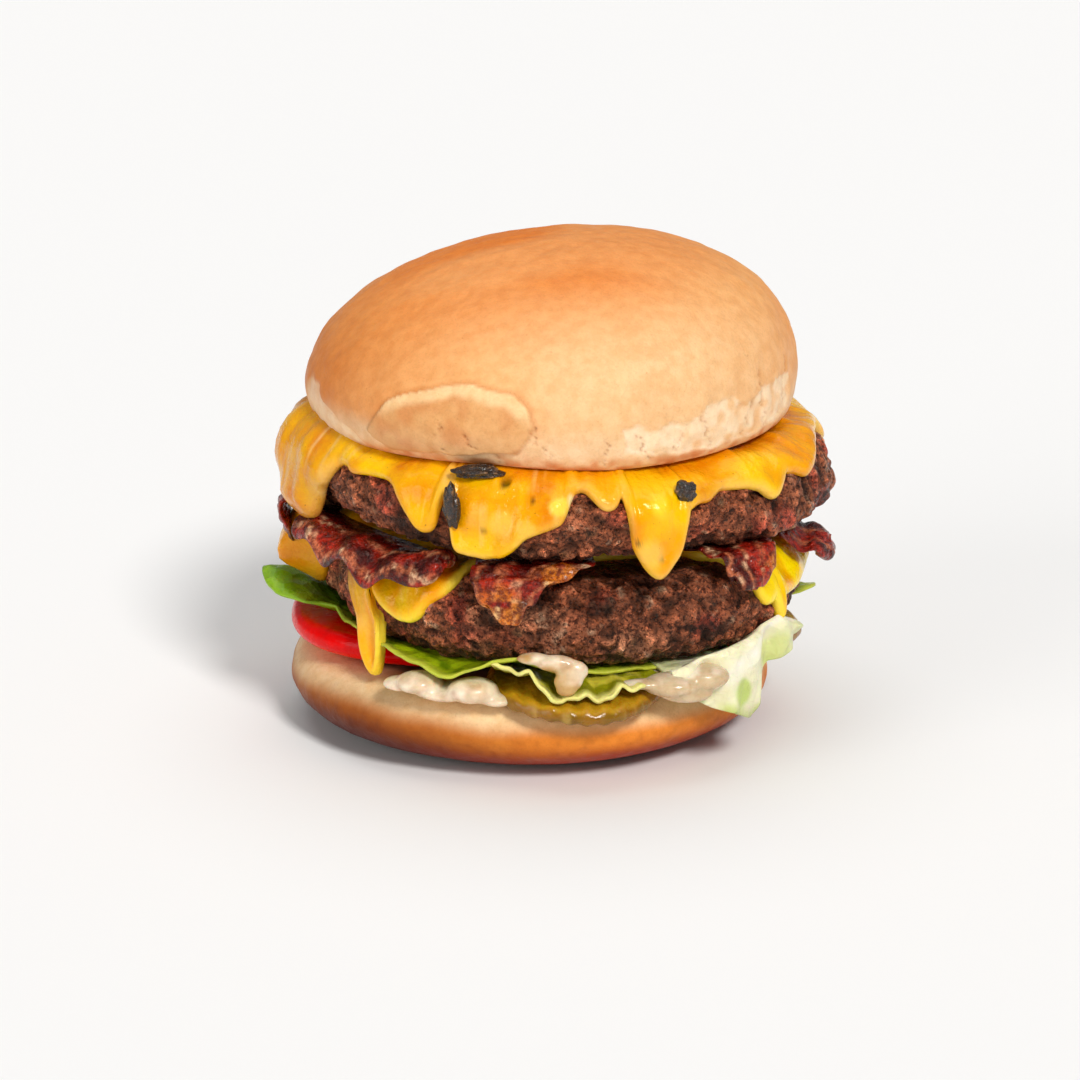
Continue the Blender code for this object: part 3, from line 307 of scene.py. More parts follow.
# Bacon. Each knot is one edge and the other edge of the strip. droop lowers the first edge by as
# much, plump is how much thicker the strip is at its start and at its end, rolled is how much thicker
# its first edge is, and amber names golden patches as (x, y, z, how wide).
BACON_THICKNESS = 1.7
BACON = {
    "bacon_left": {
        "knots": (
            ((-58.4, -16.5, 51.6), (-43.5, -9.5, 48.0)),
            ((-54.6, -22.8, 52.8), (-41.0, -14.5, 48.0)),
            ((-50.2, -30.6, 49.8), (-38.0, -20.5, 48.2)),
            ((-45.4, -37.6, 51.4), (-33.5, -26.5, 48.2)),
            ((-39.6, -44.6, 48.8), (-28.5, -31.5, 48.0)),
            ((-33.0, -50.6, 51.2), (-24.0, -38.0, 48.0)),
            ((-23.4, -55.4, 52.0), (-18.6, -43.0, 48.2)),
        ),
        "droop": 5.6,
        "plump": (0.2, 1.6),
        "wave": 1.1,
        "waves": 24,
        "seed": 71,
        "rolled": 1.3,
        "amber": (),
    },
    "bacon_front": {
        "knots": (
            ((-9.8, -61.2, 39.8), (-7.0, -61.2, 39.6)),
            ((-13.2, -61.0, 42.8), (-4.6, -61.2, 42.6)),
            ((-16.0, -60.2, 46.4), (-1.8, -60.8, 46.4)),
            ((-17.0, -57.6, 49.4), (4.6, -58.2, 49.8)),
            ((-16.0, -50.0, 49.3), (9.4, -51.5, 49.9)),
            ((-16.0, -38.0, 48.3), (9.0, -38.0, 48.3)),
            ((-16.0, 0.0, 48.0), (8.0, 0.0, 47.8)),
            ((-15.0, 34.0, 48.0), (9.0, 34.0, 47.8)),
            ((-13.5, 50.0, 47.9), (9.0, 51.5, 47.7)),
        ),
        "droop": 0.0,
        "plump": (0.5, 0.0),
        "wave": 0.9,
        "waves": 40,
        "seed": 72,
        "rolled": 0.0,
        "amber": ((-11, -61, 43, 6.5), (2, -58, 48.5, 6)),
    },
    "bacon_right": {
        "knots": (
            ((41.0, -48.6, 43.4), (46.0, -44.8, 43.6)),
            ((38.6, -49.2, 45.6), (48.2, -42.6, 46.2)),
            ((36.6, -47.8, 49.2), (48.4, -39.4, 49.8)),
            ((32.0, -42.6, 50.2), (47.8, -30.6, 50.0)),
            ((27.0, -34.0, 48.3), (47.0, -24.0, 48.2)),
            ((24.0, -16.0, 47.6), (46.0, -12.0, 47.2)),
            ((24.0, 10.0, 47.5), (46.0, 10.0, 47.1)),
            ((25.0, 34.0, 47.5), (45.0, 32.0, 47.1)),
            ((27.5, 47.5, 47.3), (41.5, 45.0, 46.9)),
        ),
        "droop": 0.0,
        "plump": (1.3, 0.0),
        "wave": 0.9,
        "waves": 40,
        "seed": 73,
        "rolled": 0.4,
        "amber": ((48, -42, 45, 5),),
    },
    "bacon_cross": {
        "knots": (
            ((-57.6, 3.0, 42.6), (-56.6, -12.0, 42.0)),
            ((-59.4, 4.5, 46.4), (-58.4, -13.5, 46.6)),
            ((-58.4, 6.0, 49.8), (-59.6, -12.5, 52.0)),
            ((-54.5, 6.5, 50.1), (-54.5, -13.5, 50.8)),
            ((-47.0, 6.5, 49.7), (-47.0, -15.0, 50.0)),
            ((-20.0, 6.0, 49.9), (-20.0, -16.0, 49.9)),
            ((20.0, 5.0, 49.8), (20.0, -18.0, 49.8)),
            ((45.0, 0.0, 49.3), (44.5, -22.0, 49.4)),
            ((52.5, -2.0, 47.0), (51.5, -23.5, 46.4)),
            ((57.6, -3.0, 44.4), (56.4, -23.0, 44.0)),
            ((61.2, -4.0, 42.8), (60.0, -21.0, 42.6)),
            ((63.4, -7.0, 41.8), (62.4, -17.0, 41.8)),
        ),
        "droop": 0.0,
        "plump": (0.4, 1.8),
        "wave": 0.8,
        "waves": 40,
        "seed": 74,
        "rolled": 0.3,
        "amber": (),
    },
}

# Sauce. Each spill has drops, each a centre and three half sizes, and how much darker its cream
# is made: partly tan stains, partly painted shade.
SAUCE_VOXEL = 0.4
SAUCES = {
    "sauce_left": (
        (
            ((-28.2, -46.6, 21.9), (5.2, 4.8, 2.3)),
            ((-32.8, -44.6, 21.0), (3.4, 3.4, 1.5)),
            ((-16.6, -50.4, 21.3), (5.6, 4.6, 2.8)),
            ((-11.4, -51.6, 19.5), (3.8, 3.0, 1.3)),
            ((-21.6, -46.4, 19.9), (8.0, 6.0, 1.6)),
        ),
        (0.84, 0.76, 0.66),
    ),
    "sauce_right": (
        (
            ((26.0, -50.4, 22.6), (6.4, 4.6, 2.5)),
            ((32.6, -47.6, 23.6), (6.0, 4.8, 2.9)),
            ((19.6, -52.4, 23.4), (5.0, 2.2, 1.1)),
            ((29.0, -48.8, 20.4), (6.0, 4.4, 2.0)),
            ((24.0, -44.0, 21.4), (9.0, 6.0, 2.4)),
        ),
        (0.68, 0.6, 0.46),
    ),
    "sauce_flap": (
        (
            ((-3.6, -56.2, 30.4), (3.8, 1.8, 1.3)),
            ((1.2, -56.8, 29.6), (4.4, 2.0, 1.9)),
            ((5.0, -57.2, 28.0), (3.2, 1.9, 2.5)),
            ((3.8, -57.6, 25.8), (3.2, 1.8, 2.4)),
            ((3.4, -57.9, 24.0), (2.3, 1.5, 1.5)),
        ),
        (0.62, 0.44, 0.2),
    ),
}

# Burnt bits that stick to the cheese: centre, three half sizes and seed.
CHAR_BITS = {
    "char_left": ((-20.8, -54.8, 63.6), (1.7, 1.9, 4.8), 81),
    "char_middle": ((-15.6, -51.8, 70.5), (5.6, 2.8, 1.4), 82),
    "char_right": ((28.5, -52.8, 66.3), (2.3, 2.0, 2.3), 83),
}

# Columns and rows of each mesh. Columns stand closer together at the front, by this share of the mean.
MESH = {
    "bun_top": (460, 150),
    "bun_bottom": (300, 90),
    "patty": (620, 114),
    "cheese": (660, 72),
    "tomato": (160, 40),
    "pickle": (200, 50),
    "lettuce_leaf": (320, 40),
    "lettuce_crisp": (120, 70),
    "lettuce_frill": (150, 40),
    "bacon": (46, 230),
    "drop": (48, 28),
    "char": (60, 40),
    "floor": (2, 2),
}
FRONT_SHARE = 0.35

# The camera in metres and mm of film, and how many degrees it looks down.
CAMERA = {"place": (-0.0022, -0.8607, 0.3027), "down": 17, "lens": 133.35, "sensor": 36}

# Lights: where each comes from, its strength, its softness in degrees and its colour.
LIGHTS = (
    ("key", (0.45, -1.0, 0.95), 2.2, 14, (1.0, 0.98, 0.95)),
    ("fill", (-0.9, -0.8, 0.4), 0.8, 36, (1.0, 0.98, 0.96)),
    ("top", (0.0, 0.25, 1.0), 1.0, 60, (1.0, 1.0, 1.0)),
)
STUDIO_LIGHT = 0.22
FLOOR_METRES = 30


def hashed(cells, seed):
    """A repeatable number from -1 to 1 for each lattice cell."""
    mixed = cells[:, 0] * 73856093 ^ cells[:, 1] * 19349663 ^ cells[:, 2] * 83492791
    mixed = (mixed ^ (seed * 2654435761)) & 0x7FFFFFFF
    mixed = ((mixed ^ (mixed >> 13)) * 1274126177) & 0x7FFFFFFF
    return ((mixed ^ (mixed >> 16)) & 0xFFFF) / 32767.5 - 1.0


def lumps(points, size, seed):
    """Smooth unevenness from -1 to 1, with bumps about as wide as size."""
    grid = points / size + seed * 17.31
    cell = np.floor(grid).astype(np.int64)
    part = grid - cell
    part = part * part * (3 - 2 * part)
    total = np.zeros(len(points))
    for corner in np.ndindex(2, 2, 2):
        weight = np.prod(np.where(corner, part, 1 - part), axis=1)
        total += weight * hashed(cell + np.array(corner), seed)
    return total


def crumbs(points, size, seed):
    """Grains about as wide as size: how round each stands, from 0 in its cracks to 1, and its number."""
    grid = points / size + seed * 7.77
    cell = np.floor(grid).astype(np.int64)
    nearest = np.full(len(points), 9.0)
    second = np.full(len(points), 9.0)
    number = np.zeros(len(points))
    for step in np.ndindex(3, 3, 3):
        near = cell + np.array(step) - 1
        shift = np.stack([hashed(near, seed + i) for i in range(3)], axis=1)
        away = np.linalg.norm(grid - near - 0.5 - 0.45 * shift, axis=1)
        closer = away < nearest
        second = np.where(closer, nearest, np.minimum(second, away))
        number = np.where(closer, hashed(near, seed + 3), number)
        nearest = np.minimum(nearest, away)
    return smooth(0.0, 0.55, second - nearest), number


def smooth(low, high, value):
    """0 below low, 1 above high and an even slope between them."""
    share = np.clip((value - low) / (high - low), 0, 1)
    return share * share * (3 - 2 * share)


def spots(points, size, seed, low, high):
    """Spots about as wide as size: 0 where the lumps are below low and 1 where they are above high."""
    return smooth(low, high, lumps(points, size, seed))


def away_from(points, place, stretch=1):
    """Distance of each point from a place, as seen after division by stretch."""
    return np.linalg.norm((points - np.array(place)) / stretch, axis=1)


def turned_away(angle, other):
    """Degrees between two directions, from 0 to 180."""
    return np.abs((angle - other + 180) % 360 - 180)


def round_table(table, theta):
    """Reads (angle, value) rows at each angle, evenly in between and round past 360."""
    angles, values = zip(*table)
    return np.interp(theta % 360, angles, values, period=360)


def leaning(layer, points, height):
    """Tips points about the layer's centre: lean_right lifts +X, and lean_front lowers -Y."""
    right = math.radians(layer.get("lean_right", 0))
    front = math.radians(layer.get("lean_front", 0))
    pivot = np.array([*layer["centre"], height])
    turn = Matrix.Rotation(front, 3, "X") @ Matrix.Rotation(-right, 3, "Y")
    return (points - pivot) @ np.array(turn).T + pivot


def outwards(theta):
    turn = np.radians(theta)
    return np.stack([np.cos(turn), np.sin(turn)], axis=1)


def placed(centre, theta, reach, height):
    """Points at their height, reach away from a centre in the direction of theta."""
    return np.column_stack([np.array(centre) + outwards(theta) * reach[:, None], height])


def disc_outline(radius, half, edge, share):
    """Radius, height and outward slope down the side of a thick disc with round edges.

    share is 0 at the middle of the top, 1 at the middle of the underside.
    """
    flat = 0.2
    inner = radius - edge
    phi = math.pi * (0.5 - np.clip((share - flat) / (1 - 2 * flat), 0, 1))
    reach = inner + edge * np.cos(phi)
    reach = np.where(share < flat, inner * share / flat, reach)
    reach = np.where(share > 1 - flat, inner * (1 - share) / flat, reach)
    return reach, half * np.sin(phi), phi


def on_patty(patty, theta, reach, height, phi, extra):
    """Points that stand extra above the patty's craggy skin: rough at its side, calm on its faces."""
    points = placed(patty["centre"], theta, reach, patty["middle"] + height)
    local = points - np.array([*patty["centre"], patty["middle"]])
    rough = 1.5 * lumps(local, 19, patty["seed"]) + 0.9 * lumps(local, 9.5, patty["seed"] + 1)
    stand = rough * (0.16 + 0.84 * np.clip(np.cos(phi), 0, 1) ** 0.7) + extra
    slope = np.column_stack([outwards(theta) * np.cos(phi)[:, None], np.sin(phi)])
    return leaning(patty, points + slope * stand[:, None], patty["middle"])


def patty_points(patty, theta, share, extra):
    reach, height, phi = disc_outline(patty["radius"], patty["half"], patty["edge"], share)
    return on_patty(patty, theta, reach, height, phi, extra)


def draped(patty, length):
    """Radius, height and slope of a sheet that lies on a patty and then hangs straight down.

    length is measured along the sheet from the patty's axis.
    """
    inner = patty["radius"] - patty["edge"]
    quarter = 0.25 * math.pi * (patty["edge"] + patty["half"])
    phi = 0.5 * math.pi * (1 - np.clip((length - inner) / quarter, 0, 1))
    reach = np.where(length < inner, length, inner + patty["edge"] * np.cos(phi))
    below = np.clip(length - inner - quarter, 0, None)
    return reach, patty["half"] * np.sin(phi) - below, phi


def hem_length(cheese, theta):
    """Length along the sheet, from the axis to the hem, at each angle."""
    patty = cheese["patty"]
    ring = placed((0, 0), theta, patty["radius"] + 0 * theta, 0 * theta)
    uneven = 0.35 * lumps(ring, 2.4, cheese["seed"])
    softer = 1 + 3.2 * smooth(-0.2, 0.3, np.sin(np.radians(theta)))
    taps = (-0.7, -0.35, 0, 0.35, 0.7)
    rows = [round_table(cheese["hem"], theta + 0.3 * uneven + tap * softer) for tap in taps]
    drop = sum(rows) / len(taps) * (1 + 0.05 * uneven)
    inner = patty["radius"] - patty["edge"]
    quarter = 0.25 * math.pi * (patty["edge"] + patty["half"])
    share = np.clip(1 - drop / patty["half"], 0, 1)
    round_part = quarter * (1 - 2 / math.pi * np.arcsin(share))
    return inner + round_part + np.clip(drop - patty["half"], 0, None) + np.minimum(drop, 0)


def cheese_sheet(cheese, theta, down):
    """Where each point of the sheet's skin lies: length from the axis and distance from its rim."""
    full = hem_length(cheese, theta)
    step = 0.8
    change = hem_length(cheese, theta + step) - hem_length(cheese, theta - step)
    slope = change / (math.radians(2 * step) * cheese["patty"]["radius"])
    length = full * (1 - np.abs(2 * down - 1) ** 2)
    return length, (full - length) / np.sqrt(1 + slope**2)


def cheese_points(cheese, theta, down, extra):
    """The skin of the sheet: down is 0 in the middle of its upper side, 0.5 at its rim and 1 below."""
    patty = cheese["patty"]
    length, from_edge = cheese_sheet(cheese, theta, down)
    bead = CHEESE_THICKNESS * (1 + 0.35 * np.exp(-((from_edge / 2.0 - 1) ** 2)))
    round_rim = np.sqrt(1 - (1 - np.clip(from_edge / 1.1, 0, 1)) ** 2)
    middle = 0.3 * bead
    past_flat = length - (patty["radius"] - patty["edge"])
    angle, width, height = cheese["bulge"]
    bulge = height * np.clip(1 - (turned_away(theta, angle) / width) ** 2, 0, 1)
    bulge *= smooth(-6, 6, past_flat) * smooth(0, 6, from_edge)
    upper = middle + (bead - middle + extra) * round_rim + bulge
    lift = np.where(down <= 0.5, upper, middle - (middle + CHEESE_SUNK) * round_rim)
    drift = round_table(cheese["drift"], theta) * np.clip(past_flat - 5, 0, 12)
    return on_patty(patty, theta + drift, *draped(patty, length), lift)


def heel_points(theta, share):
    upper = HEEL["top"] - HEEL["waist"]
    reach, height, phi = disc_outline(HEEL["radius"], upper, HEEL["edge"], share)
    below = phi < 0
    foot = HEEL["radius"] - HEEL["foot_radius"]
    reach = np.where(below, HEEL["foot_radius"] + foot * np.cos(phi), reach)
    reach = np.where(share > 0.8, HEEL["foot_radius"] * (1 - share) / 0.2, reach)
    height = np.where(below, HEEL["waist"] * np.sin(phi), height)
    points = placed(HEEL["centre"], theta, reach, HEEL["waist"] + height)
    swell = 0.9 * lumps(points, 34, 5) + 0.35 * lumps(points, 12, 6)
    points[:, :2] += outwards(theta) * (swell * np.clip(np.cos(phi), 0, 1))[:, None]
    return points


def crown_points(theta, share, extra):
    """The upper bun's surface: share is 0 at the top of the dome, 1 at the middle of the cut face."""
    dome, under = 0.62, 0.82
    rise = 0.5 * math.pi * np.clip(share / dome, 0, 1)
    curl = 0.5 * math.pi * np.clip((share - dome) / (under - dome), 0, 1)
    cut = CROWN["cut_radius"]
    low_reach = cut + (CROWN["radius"] - cut + extra) * np.cos(curl)
    reach = np.where(share > dome, low_reach, (CROWN["radius"] + extra) * np.sin(rise))
    reach = np.where(share > under, cut * (1 - share) / (1 - under), reach)
    height = CROWN["waist"] + (CROWN["dome"] + extra) * np.cos(rise)
    height = np.where(share > dome, CROWN["waist"] * (1 - np.sin(curl)), height)
    height = np.where(share > under, 0, height)
    points = placed(CROWN["centre"], theta, reach, CROWN["base"] + height)
    points[:, 0] += CROWN["shear"] * np.where(share > dome, 0, np.cos(rise)) ** 1.7
    swell = 0.8 * lumps(points, 36, 8) + 0.4 * lumps(points, 13, 9)
    side = smooth(0.05, 0.5, share) * (1 - smooth(under - 0.05, under, share))
    points[:, :2] += outwards(theta) * (swell * side)[:, None]
    points[:, 2] -= round_table(CROWN["sag"], theta) * smooth(15, 2, height) * smooth(20, 44, reach)
    return leaning(CROWN, points, CROWN["base"])


def tomato_points(theta, share):
    turn = np.radians(theta)
    reach, height, _ = disc_outline(TOMATO["radius"], TOMATO["half"], TOMATO["edge"], share)
    uneven = 1 + 0.018 * np.cos(3 * turn + 0.7) + 0.012 * np.cos(5 * turn)
    points = placed(TOMATO["centre"], theta, reach * uneven, TOMATO["middle"] + height)
    return leaning(TOMATO, points, TOMATO["middle"])


def pickle_points(pickle, theta, share):
    """A slice that lies on the lower bun and bends down over its shoulder."""
    turn = np.radians(theta)
    half = 0.5 * PICKLE_THICKNESS
    reach, height, phi = disc_outline(pickle["radius"], half, half, share)
    uneven = 1 + 0.02 * np.cos(2 * turn + pickle["seed"]) + 0.012 * np.cos(5 * turn)
    points = placed(pickle["centre"], theta, reach * uneven, PICKLE_LEVEL + height)
    from_middle = np.hypot(points[:, 0] - HEEL["centre"][0], points[:, 1] - HEEL["centre"][1])
    beyond = np.clip(from_middle - SHOULDER_START, 0, None)
    points[:, 2] += 0.3 * np.sin(phi) * np.cos(points[:, 0] / 0.62) - pickle["bend"] * beyond**2
    return points


def leaf_reach(theta):
    """How far the whole leaf reaches from its middle at each angle."""
    ring = placed((0, 0), theta, 50 + 0 * theta, 0 * theta)
    seed = LEAF["seed"]
    reach = LEAF["reach"] + 1.4 * lumps(ring, 14, seed) + 0.5 * lumps(ring, 3, seed)
    for angle, width, tip in LEAF["tips"]:
        away = turned_away(theta, angle) / width
        bulge = LEAF["reach"] + (tip - LEAF["reach"]) * np.sqrt(np.clip(1 - away**2, 0, 1))
        reach = np.where(away < 1, np.maximum(reach, bulge), reach)
    return reach


def leaf_points(theta, share):
    """The middle surface of the whole leaf: flat under the patty and curled at its rim."""
    turn = np.radians(theta)
    full = leaf_reach(theta)
    points = placed((0, 0), theta, full * share, 0 * theta)
    rim = smooth(43, 60, full * share)
    rise = round_table(LEAF["rim_lift"], theta) / smooth(43, 60, full)
    ruffle = 0.8 * np.sin(14 * turn + 1.3 * np.sin(3 * turn))
    points[:, 2] = LEAF["level"] - LEAF["fall_right"] * points[:, 0] + rim * (rise + ruffle)
    crinkle = 0.7 * lumps(points, 5, 43) + 0.4 * lumps(points, 2.2, 44)
    points[:, 2] += crinkle * rim
    return points


def crisp_points(across, down):
    """The middle surface of the crisp leaf: across runs round the burger, down from inside to hem."""
    theta = CRISP["from"] + (CRISP["to"] - CRISP["from"]) * across
    crest = round_table(CRISP["crest"], theta)
    hem = round_table(CRISP["hem"], theta)
    outer_reach = round_table(CRISP["reach"], theta)
    steps = (0.0, 0.3, 0.42, 0.5, 0.6, 1.0)
    radii = [CRISP["inner"], 51.0] + [outer_reach + step for step in (-2.4, -0.6, 0.0, -0.8)]
    flat = CRISP["inner_level"]
    reach = sum_of_tents(down, steps, radii)
    height = sum_of_tents(down, steps, (flat, flat + 0.3, crest - 1.6, crest, crest - 0.8, hem))
    outer = smooth(0.4, 0.7, down)
    fold = np.sin(across * 15 + 2.2 * down) + 0.6 * np.sin(across * 29 - 3 * down + 1)
    ruffle = np.sin(across * 52 + 9 * down) * smooth(0.7, 1.0, down)
    reach = reach + outer * 1.1 * fold + 0.35 * ruffle
    return placed((0, 0), theta, reach, height + 0.4 * outer * np.cos(across * 23 + 4 * down))


def frill_points(across, down):
    """The middle surface of the ruffled leaf end: down runs outwards here."""
    theta = FRILL["from"] + (FRILL["to"] - FRILL["from"]) * across
    side = 1 - np.abs(2 * across - 1) ** 4
    reach = FRILL["inner"] + (FRILL["reach"] * (0.95 + 0.05 * side) - FRILL["inner"]) * down
    rim = down**2.4
    ruffle = 0.35 * np.sin(across * 38) + 0.35 * np.sin(across * 61 + 1)
    height = FRILL["level"] + (round_table(FRILL["rim"], theta) - FRILL["level"] + ruffle) * rim
    return placed((0, 0), theta, reach + 0.5 * rim * np.cos(across * 38), height)


def sum_of_tents(where, steps, values):
    """Straight lines between rows of values that stand at the given steps."""
    total = 0 * where
    for i, value in enumerate(values):
        before = steps[i - 1] if i else steps[i] - 1
        after = steps[i + 1] if i + 1 < len(steps) else steps[i] + 1
        rising = (where - before) / (steps[i] - before)
        falling = (after - where) / (after - steps[i])
        total = total + value * np.clip(np.minimum(rising, falling), 0, 1)
    return total


def through(knots, along):
    """A smooth curve through equally spaced points; along runs from 0 to 1."""
    knots = np.array(knots)
    spot = np.clip(along, 0, 1) * (len(knots) - 1)
    first = np.clip(np.floor(spot).astype(int), 0, len(knots) - 2)
    part = (spot - first)[:, None]
    before = knots[np.clip(first - 1, 0, None)]
    start, end = knots[first], knots[first + 1]
    after = knots[np.clip(first + 2, None, len(knots) - 1)]
    leave, arrive = 0.5 * (end - before), 0.5 * (after - start)
    cube, square = part**3, part**2
    point = (2 * cube - 3 * square + 1) * start + (3 * square - 2 * cube) * end
    return point + (cube - 2 * square + part) * leave + (cube - square) * arrive


def bacon_middle(bacon, along, across):
    """The middle surface of a strip; along and across run from 0 to 1."""
    one, other = (through([knot[side] for knot in bacon["knots"]], along) for side in (0, 1))
    points = one + (other - one) * across[:, None]
    points[:, 2] -= bacon["droop"] * np.clip(1 - across / 0.45, 0, 1) ** 2
    outside = smooth(50, 58, np.hypot(points[:, 0], points[:, 1]))
    wave = np.sin(along * bacon["waves"] + bacon["seed"]) * (0.4 + 0.6 * np.abs(2 * across - 1))
    points[:, 2] += bacon["wave"] * outside * wave
    return points


def bacon_points(bacon, theta, along, extra):
    """The strip's skin: theta runs round its cross section and along from end to end."""
    turn = np.radians(theta)
    end = np.sqrt(1 - np.abs(2 * along - 1) ** 16)
    across = 0.5 + 0.5 * np.cos(turn) * end
    step = 0.004
    later = bacon_middle(bacon, np.clip(along + step, 0, 1), across)
    earlier = bacon_middle(bacon, np.clip(along - step, 0, 1), across)
    width = bacon_middle(bacon, along, across + step) - bacon_middle(bacon, along, across - step)
    normal = np.cross(width, later - earlier)
    normal /= np.linalg.norm(normal, axis=1)[:, None] + 1e-6
    start, finish = bacon["plump"]
    plump = 1 + start * smooth(0.22, 0.02, along) + finish * smooth(0.8, 0.95, along)
    rolled = 1 + bacon["rolled"] * np.exp(-((across / 0.16) ** 2))
    half = 0.5 * BACON_THICKNESS * plump * rolled + extra
    return bacon_middle(bacon, along, across) + normal * (half * np.sin(turn) * end)[:, None], across


def linear(colour):
    """A colour given from 0 to 255 in each channel, as a shader counts it."""
    return (np.array(colour) / 255) ** 2.2


def coated(first, *coats):
    """A colour with coats over it, each (colour, how much it covers at each point).

    A colour is three numbers from 0 to 255, or an array that coated has made.
    """
    rows = first if isinstance(first, np.ndarray) else linear(first)
    for colour, share in coats:
        over = colour if isinstance(colour, np.ndarray) else linear(colour)
        rows = rows + (over - rows) * share[:, None]
    return rows


def coordinates(mesh):
    """The mesh's points in mm."""
    flat = np.empty(len(mesh.vertices) * 3)
    mesh.vertices.foreach_get("co", flat)
    return flat.reshape(-1, 3) / MM


def set_coordinates(mesh, points):
    mesh.vertices.foreach_set("co", np.ascontiguousarray(MM * points, np.float32).ravel())
    mesh.update()


def ball(name, kind):
    """A closed round mesh, with each vertex's angle in degrees and its share of the way down."""
    columns, rings = MESH[kind]
    turn = np.arange(columns) * 360 / columns
    theta = np.concatenate([[0], np.tile(turn, rings - 1), [0]])
    share = np.concatenate([[0], np.repeat(np.arange(1, rings) / rings, columns), [1]])
    here = 1 + np.arange(columns)
    beside = 1 + (np.arange(columns) + 1) % columns
    down = columns * np.arange(rings - 2)[:, None]
    sides = np.stack([here + down, here + down + columns, beside + down + columns, beside + down], axis=-1)
    last = columns * (rings - 2)
    top = np.stack([0 * here, here, beside], axis=-1)
    bottom = np.stack([here + last, 0 * here + len(theta) - 1, beside + last], axis=-1)
    corners = np.concatenate([top.ravel(), sides.ravel(), bottom.ravel()]).astype(np.int32)
    sizes = np.concatenate([np.full(columns, 3), np.full(columns * (rings - 2), 4), np.full(columns, 3)])
    mesh = bpy.data.meshes.new(name)
    mesh.vertices.add(len(theta))
    mesh.loops.add(len(corners))
    mesh.polygons.add(len(sizes))
    mesh.loops.foreach_set("vertex_index", corners)
    mesh.polygons.foreach_set("loop_start", (np.cumsum(sizes) - sizes).astype(np.int32))
    set_coordinates(mesh, placed((0, 0), theta, np.sin(math.pi * share), np.cos(math.pi * share)))
    mesh.update(calc_edges=True)
    return mesh, theta, share


def crowded(theta):
    """Angles moved towards the front, where the mesh is finer for it."""
    return (theta - math.degrees(FRONT_SHARE) * np.cos(np.radians(theta))) % 360


def grid_sheet(name):
    """A square sheet one metre wide, with each vertex's place from 0 to 1 both ways."""
    mesh = bpy.data.meshes.new(name)
    work = bmesh.new()
    columns, rows = MESH[name]
    bmesh.ops.create_grid(work, x_segments=columns, y_segments=rows, size=0.5)
    work.to_mesh(mesh)
    work.free()
    at = np.clip(MM * coordinates(mesh) + 0.5, 0, 1)
    return mesh, at[:, 0], at[:, 1]


def linked(name, data):
    obj = bpy.data.objects.new(name, data)
    bpy.context.scene.collection.objects.link(obj)
    return obj


def applied(obj):
    """The object's mesh with its modifiers in it."""
    graph = bpy.context.evaluated_depsgraph_get()
    graph.update()
    made = bpy.data.meshes.new_from_object(obj.evaluated_get(graph))
    obj.modifiers.clear()
    obj.data = made
    return made


def dress(node, mesh, colours, finish, thickness=0):
    """Colours the mesh and lets it stand for the CAD node, on the frame's only body.

    A sheet gets its thickness here.
    """
    tint = mesh.color_attributes.new(name="tint", type="FLOAT_COLOR", domain="POINT")
    rows = np.ones((len(mesh.vertices), 4), np.float32)
    rows[:, :3] = np.clip(colours, 0, 1)
    tint.data.foreach_set("color", rows.ravel())
    obj = linked(node + "_look", mesh)
    mesh.materials.clear()
    mesh.materials.append(finish)
    mesh.polygons.foreach_set("use_smooth", np.ones(len(mesh.polygons), bool))
    if thickness:
        solid = obj.modifiers.new("Thickness", "SOLIDIFY")
        solid.thickness = thickness * MM
        solid.offset = 0
        solid.use_even_offset = False
        applied(obj)
    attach(obj, "root")
    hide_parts(node)


